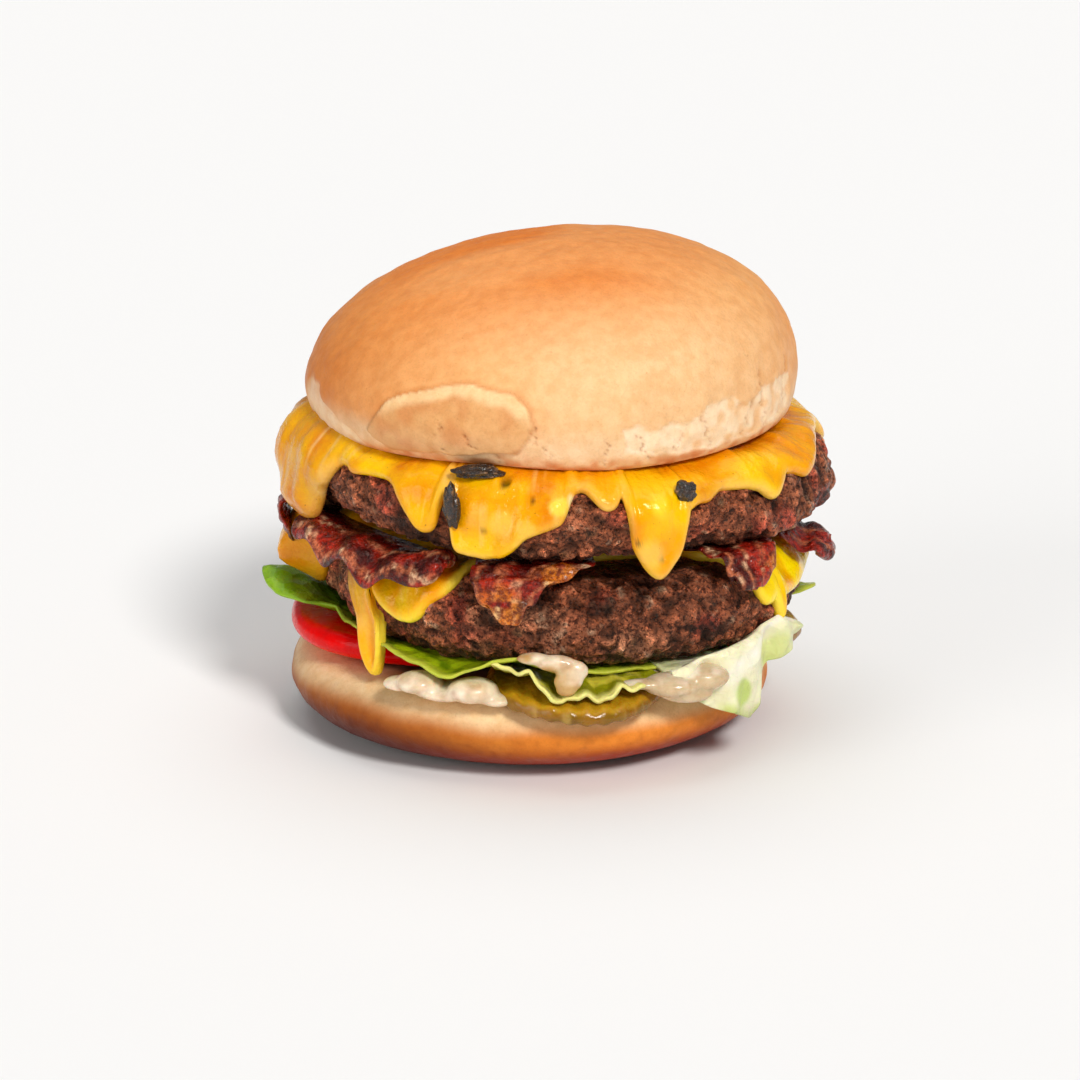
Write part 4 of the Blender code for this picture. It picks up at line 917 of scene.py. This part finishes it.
class Finish:
    """A Principled material whose colour is the vertices' tint, with finer unevenness from noise."""

    def __init__(self, name):
        self.material = bpy.data.materials.new(name)
        self.material.use_nodes = True
        self.tree = self.material.node_tree
        self.shader = self.tree.nodes["Principled BSDF"]
        self.place = self.add("ShaderNodeTexCoord").outputs["Object"]
        self.tint = self.add("ShaderNodeAttribute", attribute_name="tint").outputs["Color"]

    def add(self, kind, **settings):
        made = self.tree.nodes.new(kind)
        for name, value in settings.items():
            setattr(made, name, value)
        return made

    def feed(self, socket, value):
        if isinstance(value, bpy.types.NodeSocket):
            self.tree.links.new(value, socket)
        else:
            socket.default_value = value

    def noise(self, size, detail=4.0, roughness=0.6):
        """Noise from 0 to 1, with features about size mm wide."""
        made = self.add("ShaderNodeTexNoise")
        made.inputs["Scale"].default_value = 1 / (size * MM)
        made.inputs["Detail"].default_value = detail
        made.inputs["Roughness"].default_value = roughness
        self.feed(made.inputs["Vector"], self.place)
        return made.outputs["Fac"]

    def ramp(self, value, low, high, span=(0.0, 1.0)):
        """Span's first number where the value is below low, and its second above high."""
        made = self.add("ShaderNodeMapRange", interpolation_type="SMOOTHSTEP")
        self.feed(made.inputs["Value"], value)
        for name, number in zip(("From Min", "From Max", "To Min", "To Max"), (low, high, *span)):
            self.feed(made.inputs[name], number)
        return made.outputs["Result"]

    def clouds(self, size, low, high, detail=4.0, roughness=0.6, span=(0.0, 1.0)):
        return self.ramp(self.noise(size, detail, roughness), low, high, span)

    def times(self, one, other):
        made = self.add("ShaderNodeMath", operation="MULTIPLY")
        self.feed(made.inputs[0], one)
        self.feed(made.inputs[1], other)
        return made.outputs["Value"]

    def blend(self, share, one, other, kind="MIX"):
        made = self.add("ShaderNodeMix", data_type="RGBA", blend_type=kind)
        self.feed(made.inputs["Factor"], share)
        self.feed(made.inputs[6], one)
        self.feed(made.inputs[7], other)
        return made.outputs[2]

    def shaded(self, red, green, blue):
        """The tint with each channel made stronger or weaker."""
        return self.blend(1.0, self.tint, (red, green, blue, 1), "MULTIPLY")

    def bumps(self, *layers):
        """Unevenness of the surface: each layer is a height from 0 to 1 and its depth in mm."""
        normal = None
        for height, depth in layers:
            made = self.add("ShaderNodeBump")
            made.inputs["Distance"].default_value = depth * MM
            self.feed(made.inputs["Height"], height)
            if normal:
                self.feed(made.inputs["Normal"], normal)
            normal = made.outputs["Normal"]
        return normal

    def finish(self, colour, roughness, normal, **values):
        self.feed(self.shader.inputs["Base Color"], colour)
        self.feed(self.shader.inputs["Roughness"], roughness)
        self.feed(self.shader.inputs["Normal"], normal)
        for name, value in values.items():
            self.shader.inputs[name.replace("_", " ")].default_value = value
        return self.material


def grey(value):
    return (value, value, value, 1)


def bun_finish():
    make = Finish("toasted_bun")
    colour = make.blend(make.clouds(3.2, 0.3, 0.7, 5.0), make.shaded(0.9, 0.82, 0.73), make.tint)
    pores = make.blend(make.clouds(0.5, 0.34, 0.5, 3.0), grey(0.3), grey(1.0))
    colour = make.blend(0.1, colour, pores, "MULTIPLY")
    specks = make.times(make.clouds(1.1, 0.66, 0.74, 3.0, 0.7), 0.28)
    return make.finish(
        make.blend(specks, colour, (*linear((176, 96, 44)), 1)),
        make.clouds(4, 0.3, 0.7, span=(0.46, 0.62)),
        make.bumps((make.noise(0.6, 3.0), 0.05), (make.noise(3.4, 3.0), 0.3)),
        Specular_IOR_Level=0.3,
        Specular_Tint=(1.0, 0.84, 0.6, 1),
        Subsurface_Weight=0.1,
        Subsurface_Radius=(1.0, 0.45, 0.2),
        Subsurface_Scale=1.5 * MM,
    )


def patty_finish():
    make = Finish("grilled_beef")
    grit = make.noise(0.9, 6.0, 0.75)
    # Darker where the grit is low, which is also where the bump sinks: the meat's own dark grain, and
    # painted shade in the hollows.
    colour = make.blend(make.ramp(grit, 0.42, 0.55), make.shaded(0.17, 0.11, 0.09), make.tint)
    colour = make.blend(make.clouds(0.8, 0.54, 0.64, 5.0, 0.8), colour, make.shaded(2.2, 2.0, 1.9))
    burnt = make.times(make.clouds(2.1, 0.6, 0.67, 4.0, 0.75), 0.9)
    dry = make.clouds(2.0, 0.42, 0.56, 4.0, 0.7, (0.16, 0.75))
    wet = make.add("ShaderNodeAttribute", attribute_name="wet").outputs["Fac"]
    return make.finish(
        make.blend(burnt, colour, (0.012, 0.013, 0.01, 1)),
        make.times(dry, make.ramp(wet, 0.0, 1.0, (1.0, 0.45))),
        make.bumps((make.noise(2.0, 3.0), 0.9), (grit, 0.8)),
        Specular_IOR_Level=0.4,
        Specular_Tint=(1.0, 0.82, 0.72, 1),
    )


def cheese_finish():
    make = Finish("melted_cheese")
    golden = make.times(make.clouds(5, 0.35, 0.75, 3.0), 0.3)
    colour = make.blend(golden, make.tint, (*linear((255, 206, 20)), 1))
    specks = make.times(make.clouds(0.9, 0.7, 0.78, 2.0), 0.7)
    return make.finish(
        make.blend(specks, colour, (*linear((120, 58, 14)), 1)),
        make.clouds(3.5, 0.35, 0.7, span=(0.12, 0.3)),
        make.bumps((make.noise(3, 3.0), 0.5), (make.noise(0.9, 2.0), 0.09)),
        Specular_IOR_Level=0.35,
        Specular_Tint=(1.0, 0.87, 0.45, 1),
        Subsurface_Weight=0.14,
        Subsurface_Radius=(1.0, 0.42, 0.05),
        Subsurface_Scale=1.4 * MM,
        Coat_Weight=0.2,
        Coat_Roughness=0.06,
        Coat_Tint=(1.0, 0.97, 0.9, 1),
    )


def bacon_finish():
    make = Finish("crisp_bacon")
    return make.finish(
        make.blend(make.clouds(1.2, 0.4, 0.6, 5.0, 0.75), make.shaded(0.3, 0.17, 0.14), make.tint),
        make.clouds(1.4, 0.4, 0.65, span=(0.14, 0.4)),
        make.bumps((make.noise(1.6, 4.0), 1.3), (make.noise(0.7, 3.0), 0.35)),
        Specular_IOR_Level=0.4,
        Specular_Tint=(1.0, 0.75, 0.65, 1),
        Coat_Weight=0.15,
        Coat_Roughness=0.08,
        Subsurface_Weight=0.05,
        Subsurface_Scale=1 * MM,
    )


def leaf_finish(name, gloss):
    make = Finish(name)
    cells = make.add("ShaderNodeTexVoronoi")
    cells.inputs["Scale"].default_value = 1 / (LEAF_CELL * MM)
    make.feed(cells.inputs["Vector"], make.place)
    vein = cells.outputs["Distance"]
    return make.finish(
        make.blend(make.ramp(vein, 0.0, 0.5, (0.0, 0.3)), make.tint, make.shaded(0.75, 0.8, 0.5)),
        make.clouds(3, 0.35, 0.65, span=(gloss, gloss + 0.16)),
        make.bumps((vein, 0.9), (make.noise(1.4, 3.0), 0.4)),
        Specular_IOR_Level=0.35,
        Specular_Tint=(1.0, 1.0, 0.6, 1),
        Subsurface_Weight=0.25,
        Subsurface_Radius=(0.5, 1.0, 0.2),
        Subsurface_Scale=1.2 * MM,
        Coat_Weight=0.15,
        Coat_Roughness=0.15,
    )


def wet_finish(name, roughness, scale, weight, depth, shine):
    """Tomato, pickle and sauce: smooth, wet and slightly clear."""
    make = Finish(name)
    return make.finish(
        make.blend(make.clouds(3, 0.3, 0.7), make.shaded(0.82, 0.78, 0.74), make.tint),
        make.clouds(2.5, 0.35, 0.65, span=(roughness, roughness + 0.15)),
        make.bumps((make.noise(2.2, 3.0), depth)),
        Subsurface_Weight=weight,
        Subsurface_Scale=scale * MM,
        Specular_IOR_Level=shine,
        Coat_Weight=0.6 * shine,
        Coat_Roughness=0.08,
    )


def char_finish():
    make = Finish("charred_crust")
    grit = make.noise(0.8, 4.0, 0.7)
    return make.finish(
        make.blend(make.ramp(grit, 0.42, 0.6), grey(0.012), make.tint),
        make.ramp(grit, 0.35, 0.65, (0.1, 0.4)),
        make.bumps((grit, 0.7)),
        Coat_Weight=0.4,
        Coat_Roughness=0.08,
    )


def inside(outline, theta, height):
    """How far each point of the crown's side lies inside an outline of (angle, height), in mm."""
    scale = math.radians(1) * CROWN["radius"]
    at = np.column_stack([(theta % 360) * scale, height])
    corners = np.array(outline) * (scale, 1)
    nearest = np.full(len(at), 1e9)
    within = np.zeros(len(at), bool)
    for start, end in zip(corners, np.roll(corners, -1, axis=0)):
        run = end - start
        share = np.clip(((at - start) @ run) / (run @ run), 0, 1)
        nearest = np.minimum(nearest, np.linalg.norm(at - start - share[:, None] * run, axis=1))
        rising = (start[1] > at[:, 1]) != (end[1] > at[:, 1])
        climb = run[1] if run[1] else 1e-9
        within ^= rising & (at[:, 0] < start[0] + run[0] * (at[:, 1] - start[1]) / climb)
    return np.where(within, nearest, -nearest)


def cracks(theta, height):
    """How deep a fine crack lies at each point of the crown's side, from 0 to 1."""
    depth = 0 * theta
    around = math.radians(1) * CROWN["radius"]
    for angle, low, high, slant, width in CROWN_CRACKS:
        wander = 0.5 * np.sin(height * 1.9 + angle) + 0.3 * np.sin(height * 4.1 + 2 * angle)
        away = np.abs(((theta - angle + 180) % 360 - 180) * around - slant * (height - low) - wander)
        span = smooth(low - 0.6, low + 0.6, height) * smooth(high + 0.6, high - 0.6, height)
        depth = np.maximum(depth, smooth(width, 0.3 * width, away) * span)
    return depth


def make_crown(finish):
    mesh, theta, share = ball("bun_top", "bun_top")
    theta = crowded(theta)
    base = crown_points(theta, share, 0)
    x = base[:, 0]
    height = base[:, 2] - CROWN["base"] - CROWN["slant"] * x
    height += round_table(CROWN["sag"], theta) * smooth(15, 2, height)
    wobble = 0.7 * lumps(base, 3.2, 107) + 0.3 * lumps(base, 1.2, 108)
    flap_depth = inside(CROWN_FLAP, theta + 0.6 * wobble, height + 0.6 * wobble)
    flap = smooth(-0.25, 0.25, flap_depth)
    frayed = theta + 1.3 * wobble, height + 1.2 * wobble
    torn = smooth(-0.3, 0.3, inside(CROWN_TORN, *frayed))
    torn = np.maximum(torn, 0.7 * smooth(-0.5, 0.5, inside(CROWN_TORN_LEFT, *frayed)))
    crack = cracks(theta, height)
    relief = 0.25 * lumps(base, 6, 101) + 0.12 * lumps(base, 2.5, 102) + flap - 0.6 * (torn + crack)
    relief += torn * (0.25 * lumps(base, 1.6, 103) + 0.3 * lumps(base, 3.4, 104))
    relief += 0.4 * smooth(4.5, 1.0, height) * lumps(base, 2.6, 115)
    set_coordinates(mesh, crown_points(theta, share, relief))
    # Browner near the top: the crust's toasted top all round, made browner still towards the left as
    # painted shade.
    browner = smooth(18, 38, height) * smooth(34, -34, x)
    browner = np.maximum(browner, 0.9 * smooth(26, 36, height))
    # Painted shade: the low left side of the crown is made darker.
    left = smooth(-14, -46, x) * smooth(34, 14, height)
    # Painted light: the lower front, strongest from the middle rightwards, is made pale cream.
    front = smooth(-0.2, 0.9, -np.sin(np.radians(theta))) * smooth(36, 18, height) * smooth(-42, 12, x)
    rim = smooth(3.6, 0.6, height + 1.4 * lumps(base, 5, 109))
    baked = coated((222, 164, 106), ((210, 140, 84), spots(base, 3, 110, -0.3, 0.6)))
    crumb = coated((254, 228, 192), ((246, 200, 150), spots(base, 2.5, 114, 0, 0.7)))
    colours = coated(
        (238, 160, 90),
        ((230, 124, 38), 0.95 * browner),
        ((208, 122, 58), 0.8 * left),
        ((244, 198, 146), 0.95 * front),
        ((250, 192, 128), 0.35 * spots(base, 24, 105, -0.2, 0.6)),
        ((242, 206, 164), 0.8 * smooth(10, 4, height)),
        ((212, 120, 60), 0.7 * rim * spots(base, 1.8, 106, -0.5, 0.5)),
        (baked, 0.75 * flap),
        # Painted highlight: a pale band just inside the flap's upper edge.
        ((253, 214, 160), 0.85 * flap * smooth(3.4, 1.4, flap_depth) * smooth(8, 12, height)),
        # Painted shadow: a darker line just above the flap's upper edge.
        ((204, 120, 60), 0.4 * smooth(-1.4, -0.2, flap_depth) * (1 - flap) * smooth(6, 10, height)),
        (crumb, 0.85 * torn),
        ((190, 108, 56), 0.4 * crack),
        ((214, 158, 96), smooth(0.8, 0.84, share)),
    )
    dress("bun_top", mesh, colours, finish)


def make_heel(finish):
    mesh, theta, share = ball("bun_bottom", "bun_bottom")
    theta = crowded(theta)
    points = heel_points(theta, share)
    fine = (0.2 * lumps(points, 5, 111) + 0.1 * lumps(points, 2, 112)) * (share > 0.25) * (share < 0.75)
    points[:, :2] += outwards(theta) * fine[:, None]
    set_coordinates(mesh, points)
    x, height = points[:, 0], points[:, 2] + 1.2 * lumps(points, 14, 113)
    colours = coated(
        (255, 222, 172),
        # Darker towards the bottom: partly the browner crust, partly painted shade on the lower side.
        ((236, 140, 52), smooth(15.5, 11, height)),
        ((168, 50, 2), smooth(10.5, 4.5, height)),
        ((104, 36, 8), smooth(3.5, 0.5, height)),
        ((150, 62, 16), 0.35 * spots(points, 1.5, 116, 0.1, 0.8) * smooth(14, 8, height)),
    )
    # Painted shade: a much darker copy of the crust over the left side.
    left = smooth(16, -46, x) * smooth(19, 8, height)
    # Painted shade: a somewhat darker copy of the crust low on the right side.
    right = smooth(10, 44, x) * smooth(15, 5, height)
    colours = coated(colours, (colours * (0.2, 0.1, 0.06), left))
    colours = coated(colours, (colours * (0.8, 0.68, 0.62), right))
    # Painted shade: the inner part of the cut face, under the fillings, is made dark maroon.
    from_axis = np.hypot(x - HEEL["centre"][0], points[:, 1]) + 2 * lumps(points, 6, 115)
    colours = coated(colours, ((74, 22, 8), 0.9 * smooth(43, 38, from_axis) * (share < 0.3)))
    dress("bun_bottom", mesh, colours, finish)


def make_patty(name, patty, finish):
    mesh, theta, share = ball(name, "patty")
    theta = crowded(theta)
    base = patty_points(patty, theta, share, 0)
    seed = patty["seed"]
    pulled = base + 1.3 * np.column_stack([lumps(base, 2.4, seed + i) for i in (21, 22, 23)])
    clump, tone = crumbs(pulled, 4.6, seed + 200)
    grain = lumps(base, 2.0, seed + 5) + 0.7 * lumps(pulled, 1.0, seed + 6)
    ridge = 1 - 2.4 * np.abs(lumps(pulled, 3.2, seed + 7))
    pit = spots(base, 3.4, seed + 11, 0.4, 0.8)
    side = smooth(0.12, 0.26, share) * smooth(0.88, 0.74, share)
    low_side = np.exp(-(((share - 0.62) / 0.11) ** 2))
    swell = patty["swell"] * low_side * smooth(52, 30, turned_away(theta, 350))
    relief = 0.7 * (clump - 0.6) + 0.42 * grain + 0.35 * ridge + 0.6 * lumps(base, 5, seed + 8)
    set_coordinates(mesh, patty_points(patty, theta, share, side * (relief + swell - 0.8 * pit)))
    low = smooth(-4.5, -8.5, base[:, 2] - patty["middle"] - 1.6 * lumps(base, 6, seed + 12))
    from_burnt = away_from(base, patty["burnt"]) + 2 * lumps(base, 3, seed + 17)
    charred = smooth(0.35, 0.7, tone) * spots(base, 11, seed + 16, -0.2, 0.5)
    charred = np.maximum.reduce([charred, 0.75 * low, smooth(8, 5, from_burnt)])
    colours = coated(
        (216, 124, 84),
        ((236, 164, 122), 0.8 * spots(base, 8, seed + 13, 0.0, 0.9)),
        ((226, 88, 70), 0.75 * spots(base, 6, seed + 14, 0.0, 0.8)),
        # Painted light: paler where the grain stands highest.
        ((252, 210, 170), 0.6 * smooth(0.5, 1.1, grain)),
        ((96, 84, 56), 0.7 * spots(base, 2.8, seed + 15, 0.5, 0.9)),
        ((40, 26, 20), 0.85 * charred),
    )
    # Painted shade: the tint is darkened in the cracks between crumbs, in the low parts of the grain and
    # in the pits.
    light = smooth(-1.1, 0.5, grain + 0.6 * ridge)
    deep = (0.12 + 0.88 * light * (0.35 + 0.65 * clump)) * (1 - 0.7 * pit)
    wet = smooth(1.3, 0.6, away_from(base, patty["gloss"], (16, 12, 5)))
    gloss = mesh.attributes.new(name="wet", type="FLOAT", domain="POINT")
    gloss.data.foreach_set("value", np.ascontiguousarray(wet, np.float32))
    dress(name, mesh, colours * deep[:, None], finish)


def make_cheese(name, cheese, finish):
    mesh, theta, down = ball(name, "cheese")
    theta = crowded(theta)
    base = cheese_points(cheese, theta, down, 0)
    length, from_edge = cheese_sheet(cheese, theta, down)
    seed, patty = cheese["seed"], cheese["patty"]

    def running(across, along, size, number):
        """Unevenness that runs down the sheet."""
        return lumps(np.column_stack([across * theta, along * length, 0 * theta]), size, seed + number)

    flow = running(0.9, 0.16, 2.6, 4)
    fine_flow = running(1.98, 0.16, 2.0, 9)
    relief = 0.8 * lumps(base, 7, seed + 3) + 0.4 * flow + 0.12 * fine_flow
    relief += 0.16 * lumps(base, 2.4, seed + 5)
    for centre, radius, height in cheese["folds"]:
        wrinkle = np.exp(-(((away_from(base, centre) - radius) / 0.7) ** 2))
        relief += height * wrinkle * smooth(1.5, -2.0, base[:, 2] - centre[2])
    for centre, width, _, _, rise in cheese["marks"]:
        relief += rise * smooth(width, 0.4 * width, away_from(base, centre))
    set_coordinates(mesh, cheese_points(cheese, theta, down, relief * smooth(0, 4, from_edge)))
    # Painted light: paler near the rim, as if light shone through the thin edge.
    pale = smooth(2.6, 0.3, from_edge) * spots(base, 7, seed + 7, -0.7, 0.5)
    cream = spots(base, 6, seed + 11, 0.5, 0.85) * smooth(0.0, 0.5, fine_flow)
    colours = cheese["tone"] * coated(
        (250, 164, 0),
        ((255, 198, 0), spots(base, 9, seed + 6, -0.6, 0.5)),
        ((214, 112, 0), 0.6 * spots(base, 6, seed + 10, 0.1, 0.8)),
        # Painted shade: darker orange in the troughs of the flow.
        ((226, 128, 0), 0.5 * smooth(0.0, 0.7, -flow)),
        # Painted shade: darker orange on the flat top, which lies under the layer above.
        ((214, 112, 8), 0.6 * smooth(6, 0, length - (patty["radius"] - patty["edge"]))),
        ((252, 204, 112), 0.8 * pale),
        ((250, 214, 140), 0.35 * cream),
    )
    # On the left the sheet runs in pale strands with ochre between them; the pale strands are partly
    # painted highlight.
    left = smooth(30, 14, turned_away(theta, 188))
    strands = smooth(0.0, 0.5, running(1, 0.1, 1.6, 8))
    colours = coated(
        colours,
        ((236, 192, 132), 0.8 * left * strands),
        ((206, 116, 30), 0.55 * left * (1 - strands)),
    )
    for centre, width, shade, share, _ in cheese["marks"]:
        away = away_from(base, centre) + 0.3 * lumps(base, 1.2, seed + 12)
        colours = coated(colours, (shade, share * smooth(width, 0.5 * width, away)))
    dress(name, mesh, colours, finish)


def streaks(theta, size, seed):
    """Unevenness that changes round a slice only."""
    return lumps(np.column_stack([theta, 0 * theta, 0 * theta]), size, seed)


def make_tomato(finish):
    mesh, theta, share = ball("tomato", "tomato")
    set_coordinates(mesh, tomato_points(theta, share))
    colours = coated((238, 6, 2), ((228, 22, 8), 0.4 * smooth(0.1, 0.9, streaks(theta, 2.4, 121))))
    dress("tomato", mesh, colours, finish)


def make_pickle(name, pickle, finish):
    mesh, theta, share = ball(name, "pickle")
    points = pickle_points(pickle, theta, share)
    set_coordinates(mesh, points)
    seed = pickle["seed"]
    skin = smooth(0.3, 0.42, share) * smooth(0.9, 0.7, share)
    colours = coated(
        (186, 140, 30),
        ((148, 102, 16), skin),
        ((92, 84, 22), 0.5 * skin * spots(points, 4, seed, 0, 0.8)),
        ((204, 168, 84), 0.5 * skin * smooth(0.2, 0.8, streaks(theta, 3.2, seed + 1))),
    )
    dress(name, mesh, colours, finish)


def make_leaf(finish):
    mesh, across, down = grid_sheet("lettuce_leaf")
    theta, share = crowded(360 * across), 0.03 + 0.97 * down
    points = leaf_points(theta, share)
    set_coordinates(mesh, points)
    colours = coated(
        (166, 188, 24),
        ((96, 122, 6), spots(points, 3, 131, -0.1, 0.6)),
        ((214, 214, 84), 0.7 * smooth(0.95, 0.995, share)),
        ((112, 176, 26), 0.7 * smooth(30, 10, turned_away(theta, 185))),
    )
    dress("lettuce_leaf", mesh, colours, finish, thickness=LEAF["thickness"])


def make_crisp(finish):
    mesh, across, down = grid_sheet("lettuce_crisp")
    points = crisp_points(across, down)
    set_coordinates(mesh, points)
    window = away_from(points, CRISP["window"], (2.8, 3.5, 3.6))
    colours = coated(
        (246, 240, 208),
        ((214, 220, 140), 0.8 * spots(points, 6, 141, 0.0, 0.7)),
        ((255, 250, 236), 0.85 * smooth(0.1, 0.03, np.abs(down - 0.66 + 0.5 * (across - 0.5)))),
        ((186, 208, 96), 0.8 * smooth(1.1, 0.7, window)),
        ((178, 192, 90), 0.6 * smooth(0.9, 1.0, down) * spots(points, 4, 142, -0.2, 0.5)),
    )
    dress("lettuce_crisp", mesh, colours, finish, thickness=CRISP["thickness"])


def make_frill(finish):
    mesh, across, down = grid_sheet("lettuce_frill")
    points = frill_points(across, down)
    set_coordinates(mesh, points)
    colours = coated(
        (150, 148, 22),
        ((222, 206, 70), spots(points, 3, 145, -0.1, 0.6)),
        # The outer edge is paler: partly the leaf's own pale rim, partly painted highlight.
        ((248, 238, 150), 0.9 * smooth(0.86, 0.99, down)),
    )
    dress("lettuce_frill", mesh, colours, finish, thickness=FRILL["thickness"])


def make_bacon(name, bacon, finish):
    """A strip with rounded edges: the mesh's rings run along it and its columns round it."""
    mesh, theta, along = ball(name, "bacon")
    seed = bacon["seed"]
    base, across = bacon_points(bacon, theta, along, 0)
    outside = smooth(46, 54, np.hypot(base[:, 0], base[:, 1]))
    knobs, _ = crumbs(base, 2.6, seed + 4)
    relief = outside * (0.5 * lumps(base, 4, seed) + 0.45 * (knobs - 0.5))
    points, _ = bacon_points(bacon, theta, along, relief)
    set_coordinates(mesh, points)
    work = bmesh.new()
    work.from_mesh(mesh)
    bmesh.ops.recalc_face_normals(work, faces=work.faces)
    work.to_mesh(mesh)
    work.free()
    bands = across * 6.4 + 0.9 * lumps(base, 9, seed + 1) + 0.5 * lumps(base, 2.4, seed + 2)
    fat = smooth(0.45, 0.9, np.sin(bands * math.pi))
    golden = 0 * theta
    for *centre, width in bacon["amber"]:
        away = away_from(base, centre) + 1.2 * lumps(base, 2.6, 77)
        golden = np.maximum(golden, smooth(width, 0.4 * width, away))
    colours = coated(
        (186, 44, 26),
        ((84, 12, 7), spots(base, 4, seed + 3, -0.3, 0.5)),
        ((222, 126, 84), 0.8 * fat),
        ((255, 214, 168), 0.8 * fat * spots(base, 2.0, seed + 5, 0.0, 0.6)),
        ((58, 20, 12), 0.6 * spots(base, 1.5, seed + 8, 0.2, 0.8)),
        ((236, 138, 40), 0.75 * golden),
        ((150, 16, 8), golden * spots(base, 2.8, seed + 6, 0.3, 0.7)),
        # Painted highlight: pale glints in the amber patches.
        ((255, 216, 150), 0.7 * golden * spots(base, 1.7, seed + 7, 0.3, 0.8)),
    )
    dress(name, mesh, colours, finish)


def make_sauce(name, drops, stain, finish):
    """Drops of sauce run together into one thick spill."""
    work = bmesh.new()
    for centre, sizes in drops:
        mesh, _, _ = ball("drop", "drop")
        set_coordinates(mesh, np.array(centre) + coordinates(mesh) * np.array(sizes))
        work.from_mesh(mesh)
        bpy.data.meshes.remove(mesh)
    mesh = bpy.data.meshes.new(name)
    work.to_mesh(mesh)
    work.free()
    spill = linked("spill", mesh)
    merged = spill.modifiers.new("Merge", "REMESH")
    merged.mode = "VOXEL"
    merged.voxel_size = SAUCE_VOXEL * MM
    spill.modifiers.new("Soften", "SMOOTH").iterations = 14
    made = applied(spill)
    bpy.data.objects.remove(spill)
    points = coordinates(made)
    points[:, 2] += 0.15 * lumps(points, 4, 151)
    set_coordinates(made, points)
    cream = linear((252, 236, 210))
    colours = coated(
        cream,
        # The cream is made darker here: partly tan stains, partly painted shade.
        (cream * stain, 0.2 + 0.8 * spots(points, 2.4, 152, -0.5, 0.4)),
        ((176, 112, 40), 0.35 * spots(points, 1.6, 153, 0.3, 0.9)),
    )
    dress(name, made, colours, finish)


def make_char(name, centre, sizes, seed, finish):
    mesh, _, _ = ball(name, "char")
    lumpy = coordinates(mesh)
    coarse, fine = lumps(lumpy, 0.7, seed), lumps(lumpy, 0.25, seed + 1)
    lumpy *= (1 + 0.24 * coarse + 0.14 * fine)[:, None]
    set_coordinates(mesh, np.array(centre) + lumpy * np.array(sizes))
    # Painted highlight: paler brown on the raised lumps.
    colours = coated((56, 36, 26), ((150, 112, 80), smooth(0.2, 0.8, fine)))
    dress(name, mesh, colours, finish)


def make_stage():
    mesh, _, _ = grid_sheet("floor")
    set_coordinates(mesh, coordinates(mesh) * FLOOR_METRES)
    plain = bpy.data.materials.new("plain_floor")
    plain.use_nodes = True
    shader = plain.node_tree.nodes["Principled BSDF"]
    shader.inputs["Base Color"].default_value = grey(0.9)
    shader.inputs["Roughness"].default_value = 1.0
    shader.inputs["Specular IOR Level"].default_value = 0.0
    mesh.materials.append(plain)
    linked("floor", mesh)

    for name, place, strength, softness, colour in LIGHTS:
        light = bpy.data.lights.new(name, "SUN")
        light.energy = strength
        light.angle = math.radians(softness)
        light.color = colour
        linked(name, light).rotation_euler = Vector(place).to_track_quat("Z", "Y").to_euler()

    world = bpy.data.worlds.new("studio")
    world.use_nodes = True
    background = world.node_tree.nodes["Background"]
    background.inputs["Color"].default_value = grey(1.0)
    background.inputs["Strength"].default_value = STUDIO_LIGHT
    bpy.context.scene.world = world
    bpy.context.scene.view_settings.view_transform = "Standard"

    lens = bpy.data.cameras.new("camera")
    lens.lens = CAMERA["lens"]
    lens.sensor_width = CAMERA["sensor"]
    camera = linked("camera", lens)
    camera.location = CAMERA["place"]
    camera.rotation_euler = (math.radians(90 - CAMERA["down"]), 0, 0)
    bpy.context.scene.camera = camera


def main():
    for old in list(bpy.data.objects):
        if old.type in ("CAMERA", "LIGHT") or old.name == "Cube":
            bpy.data.objects.remove(old)
    bun = bun_finish()
    make_heel(bun)
    make_crown(bun)
    beef = patty_finish()
    make_patty("patty_lower", PATTY_LOWER, beef)
    make_patty("patty_upper", PATTY_UPPER, beef)
    cheese = cheese_finish()
    make_cheese("cheese_lower", CHEESE_LOWER, cheese)
    make_cheese("cheese_upper", CHEESE_UPPER, cheese)
    make_tomato(wet_finish("tomato_skin", 0.14, 2, 0.2, 0.15, 0.12))
    pickle = wet_finish("pickle_flesh", 0.2, 3, 0.3, 0.3, 0.3)
    make_pickle("pickle_front", PICKLE_FRONT, pickle)
    make_pickle("pickle_right", PICKLE_RIGHT, pickle)
    green = leaf_finish("green_leaf", 0.26)
    make_leaf(green)
    make_frill(green)
    make_crisp(leaf_finish("crisp_leaf", 0.3))
    bacon = bacon_finish()
    for name, strip in BACON.items():
        make_bacon(name, strip, bacon)
    sauce = wet_finish("cream_sauce", 0.2, 3, 0.3, 0.06, 0.4)
    for name, (drops, stain) in SAUCES.items():
        make_sauce(name, drops, stain, sauce)
    char = char_finish()
    for name, (centre, sizes, seed) in CHAR_BITS.items():
        make_char(name, centre, sizes, seed, char)
    make_stage()


main()
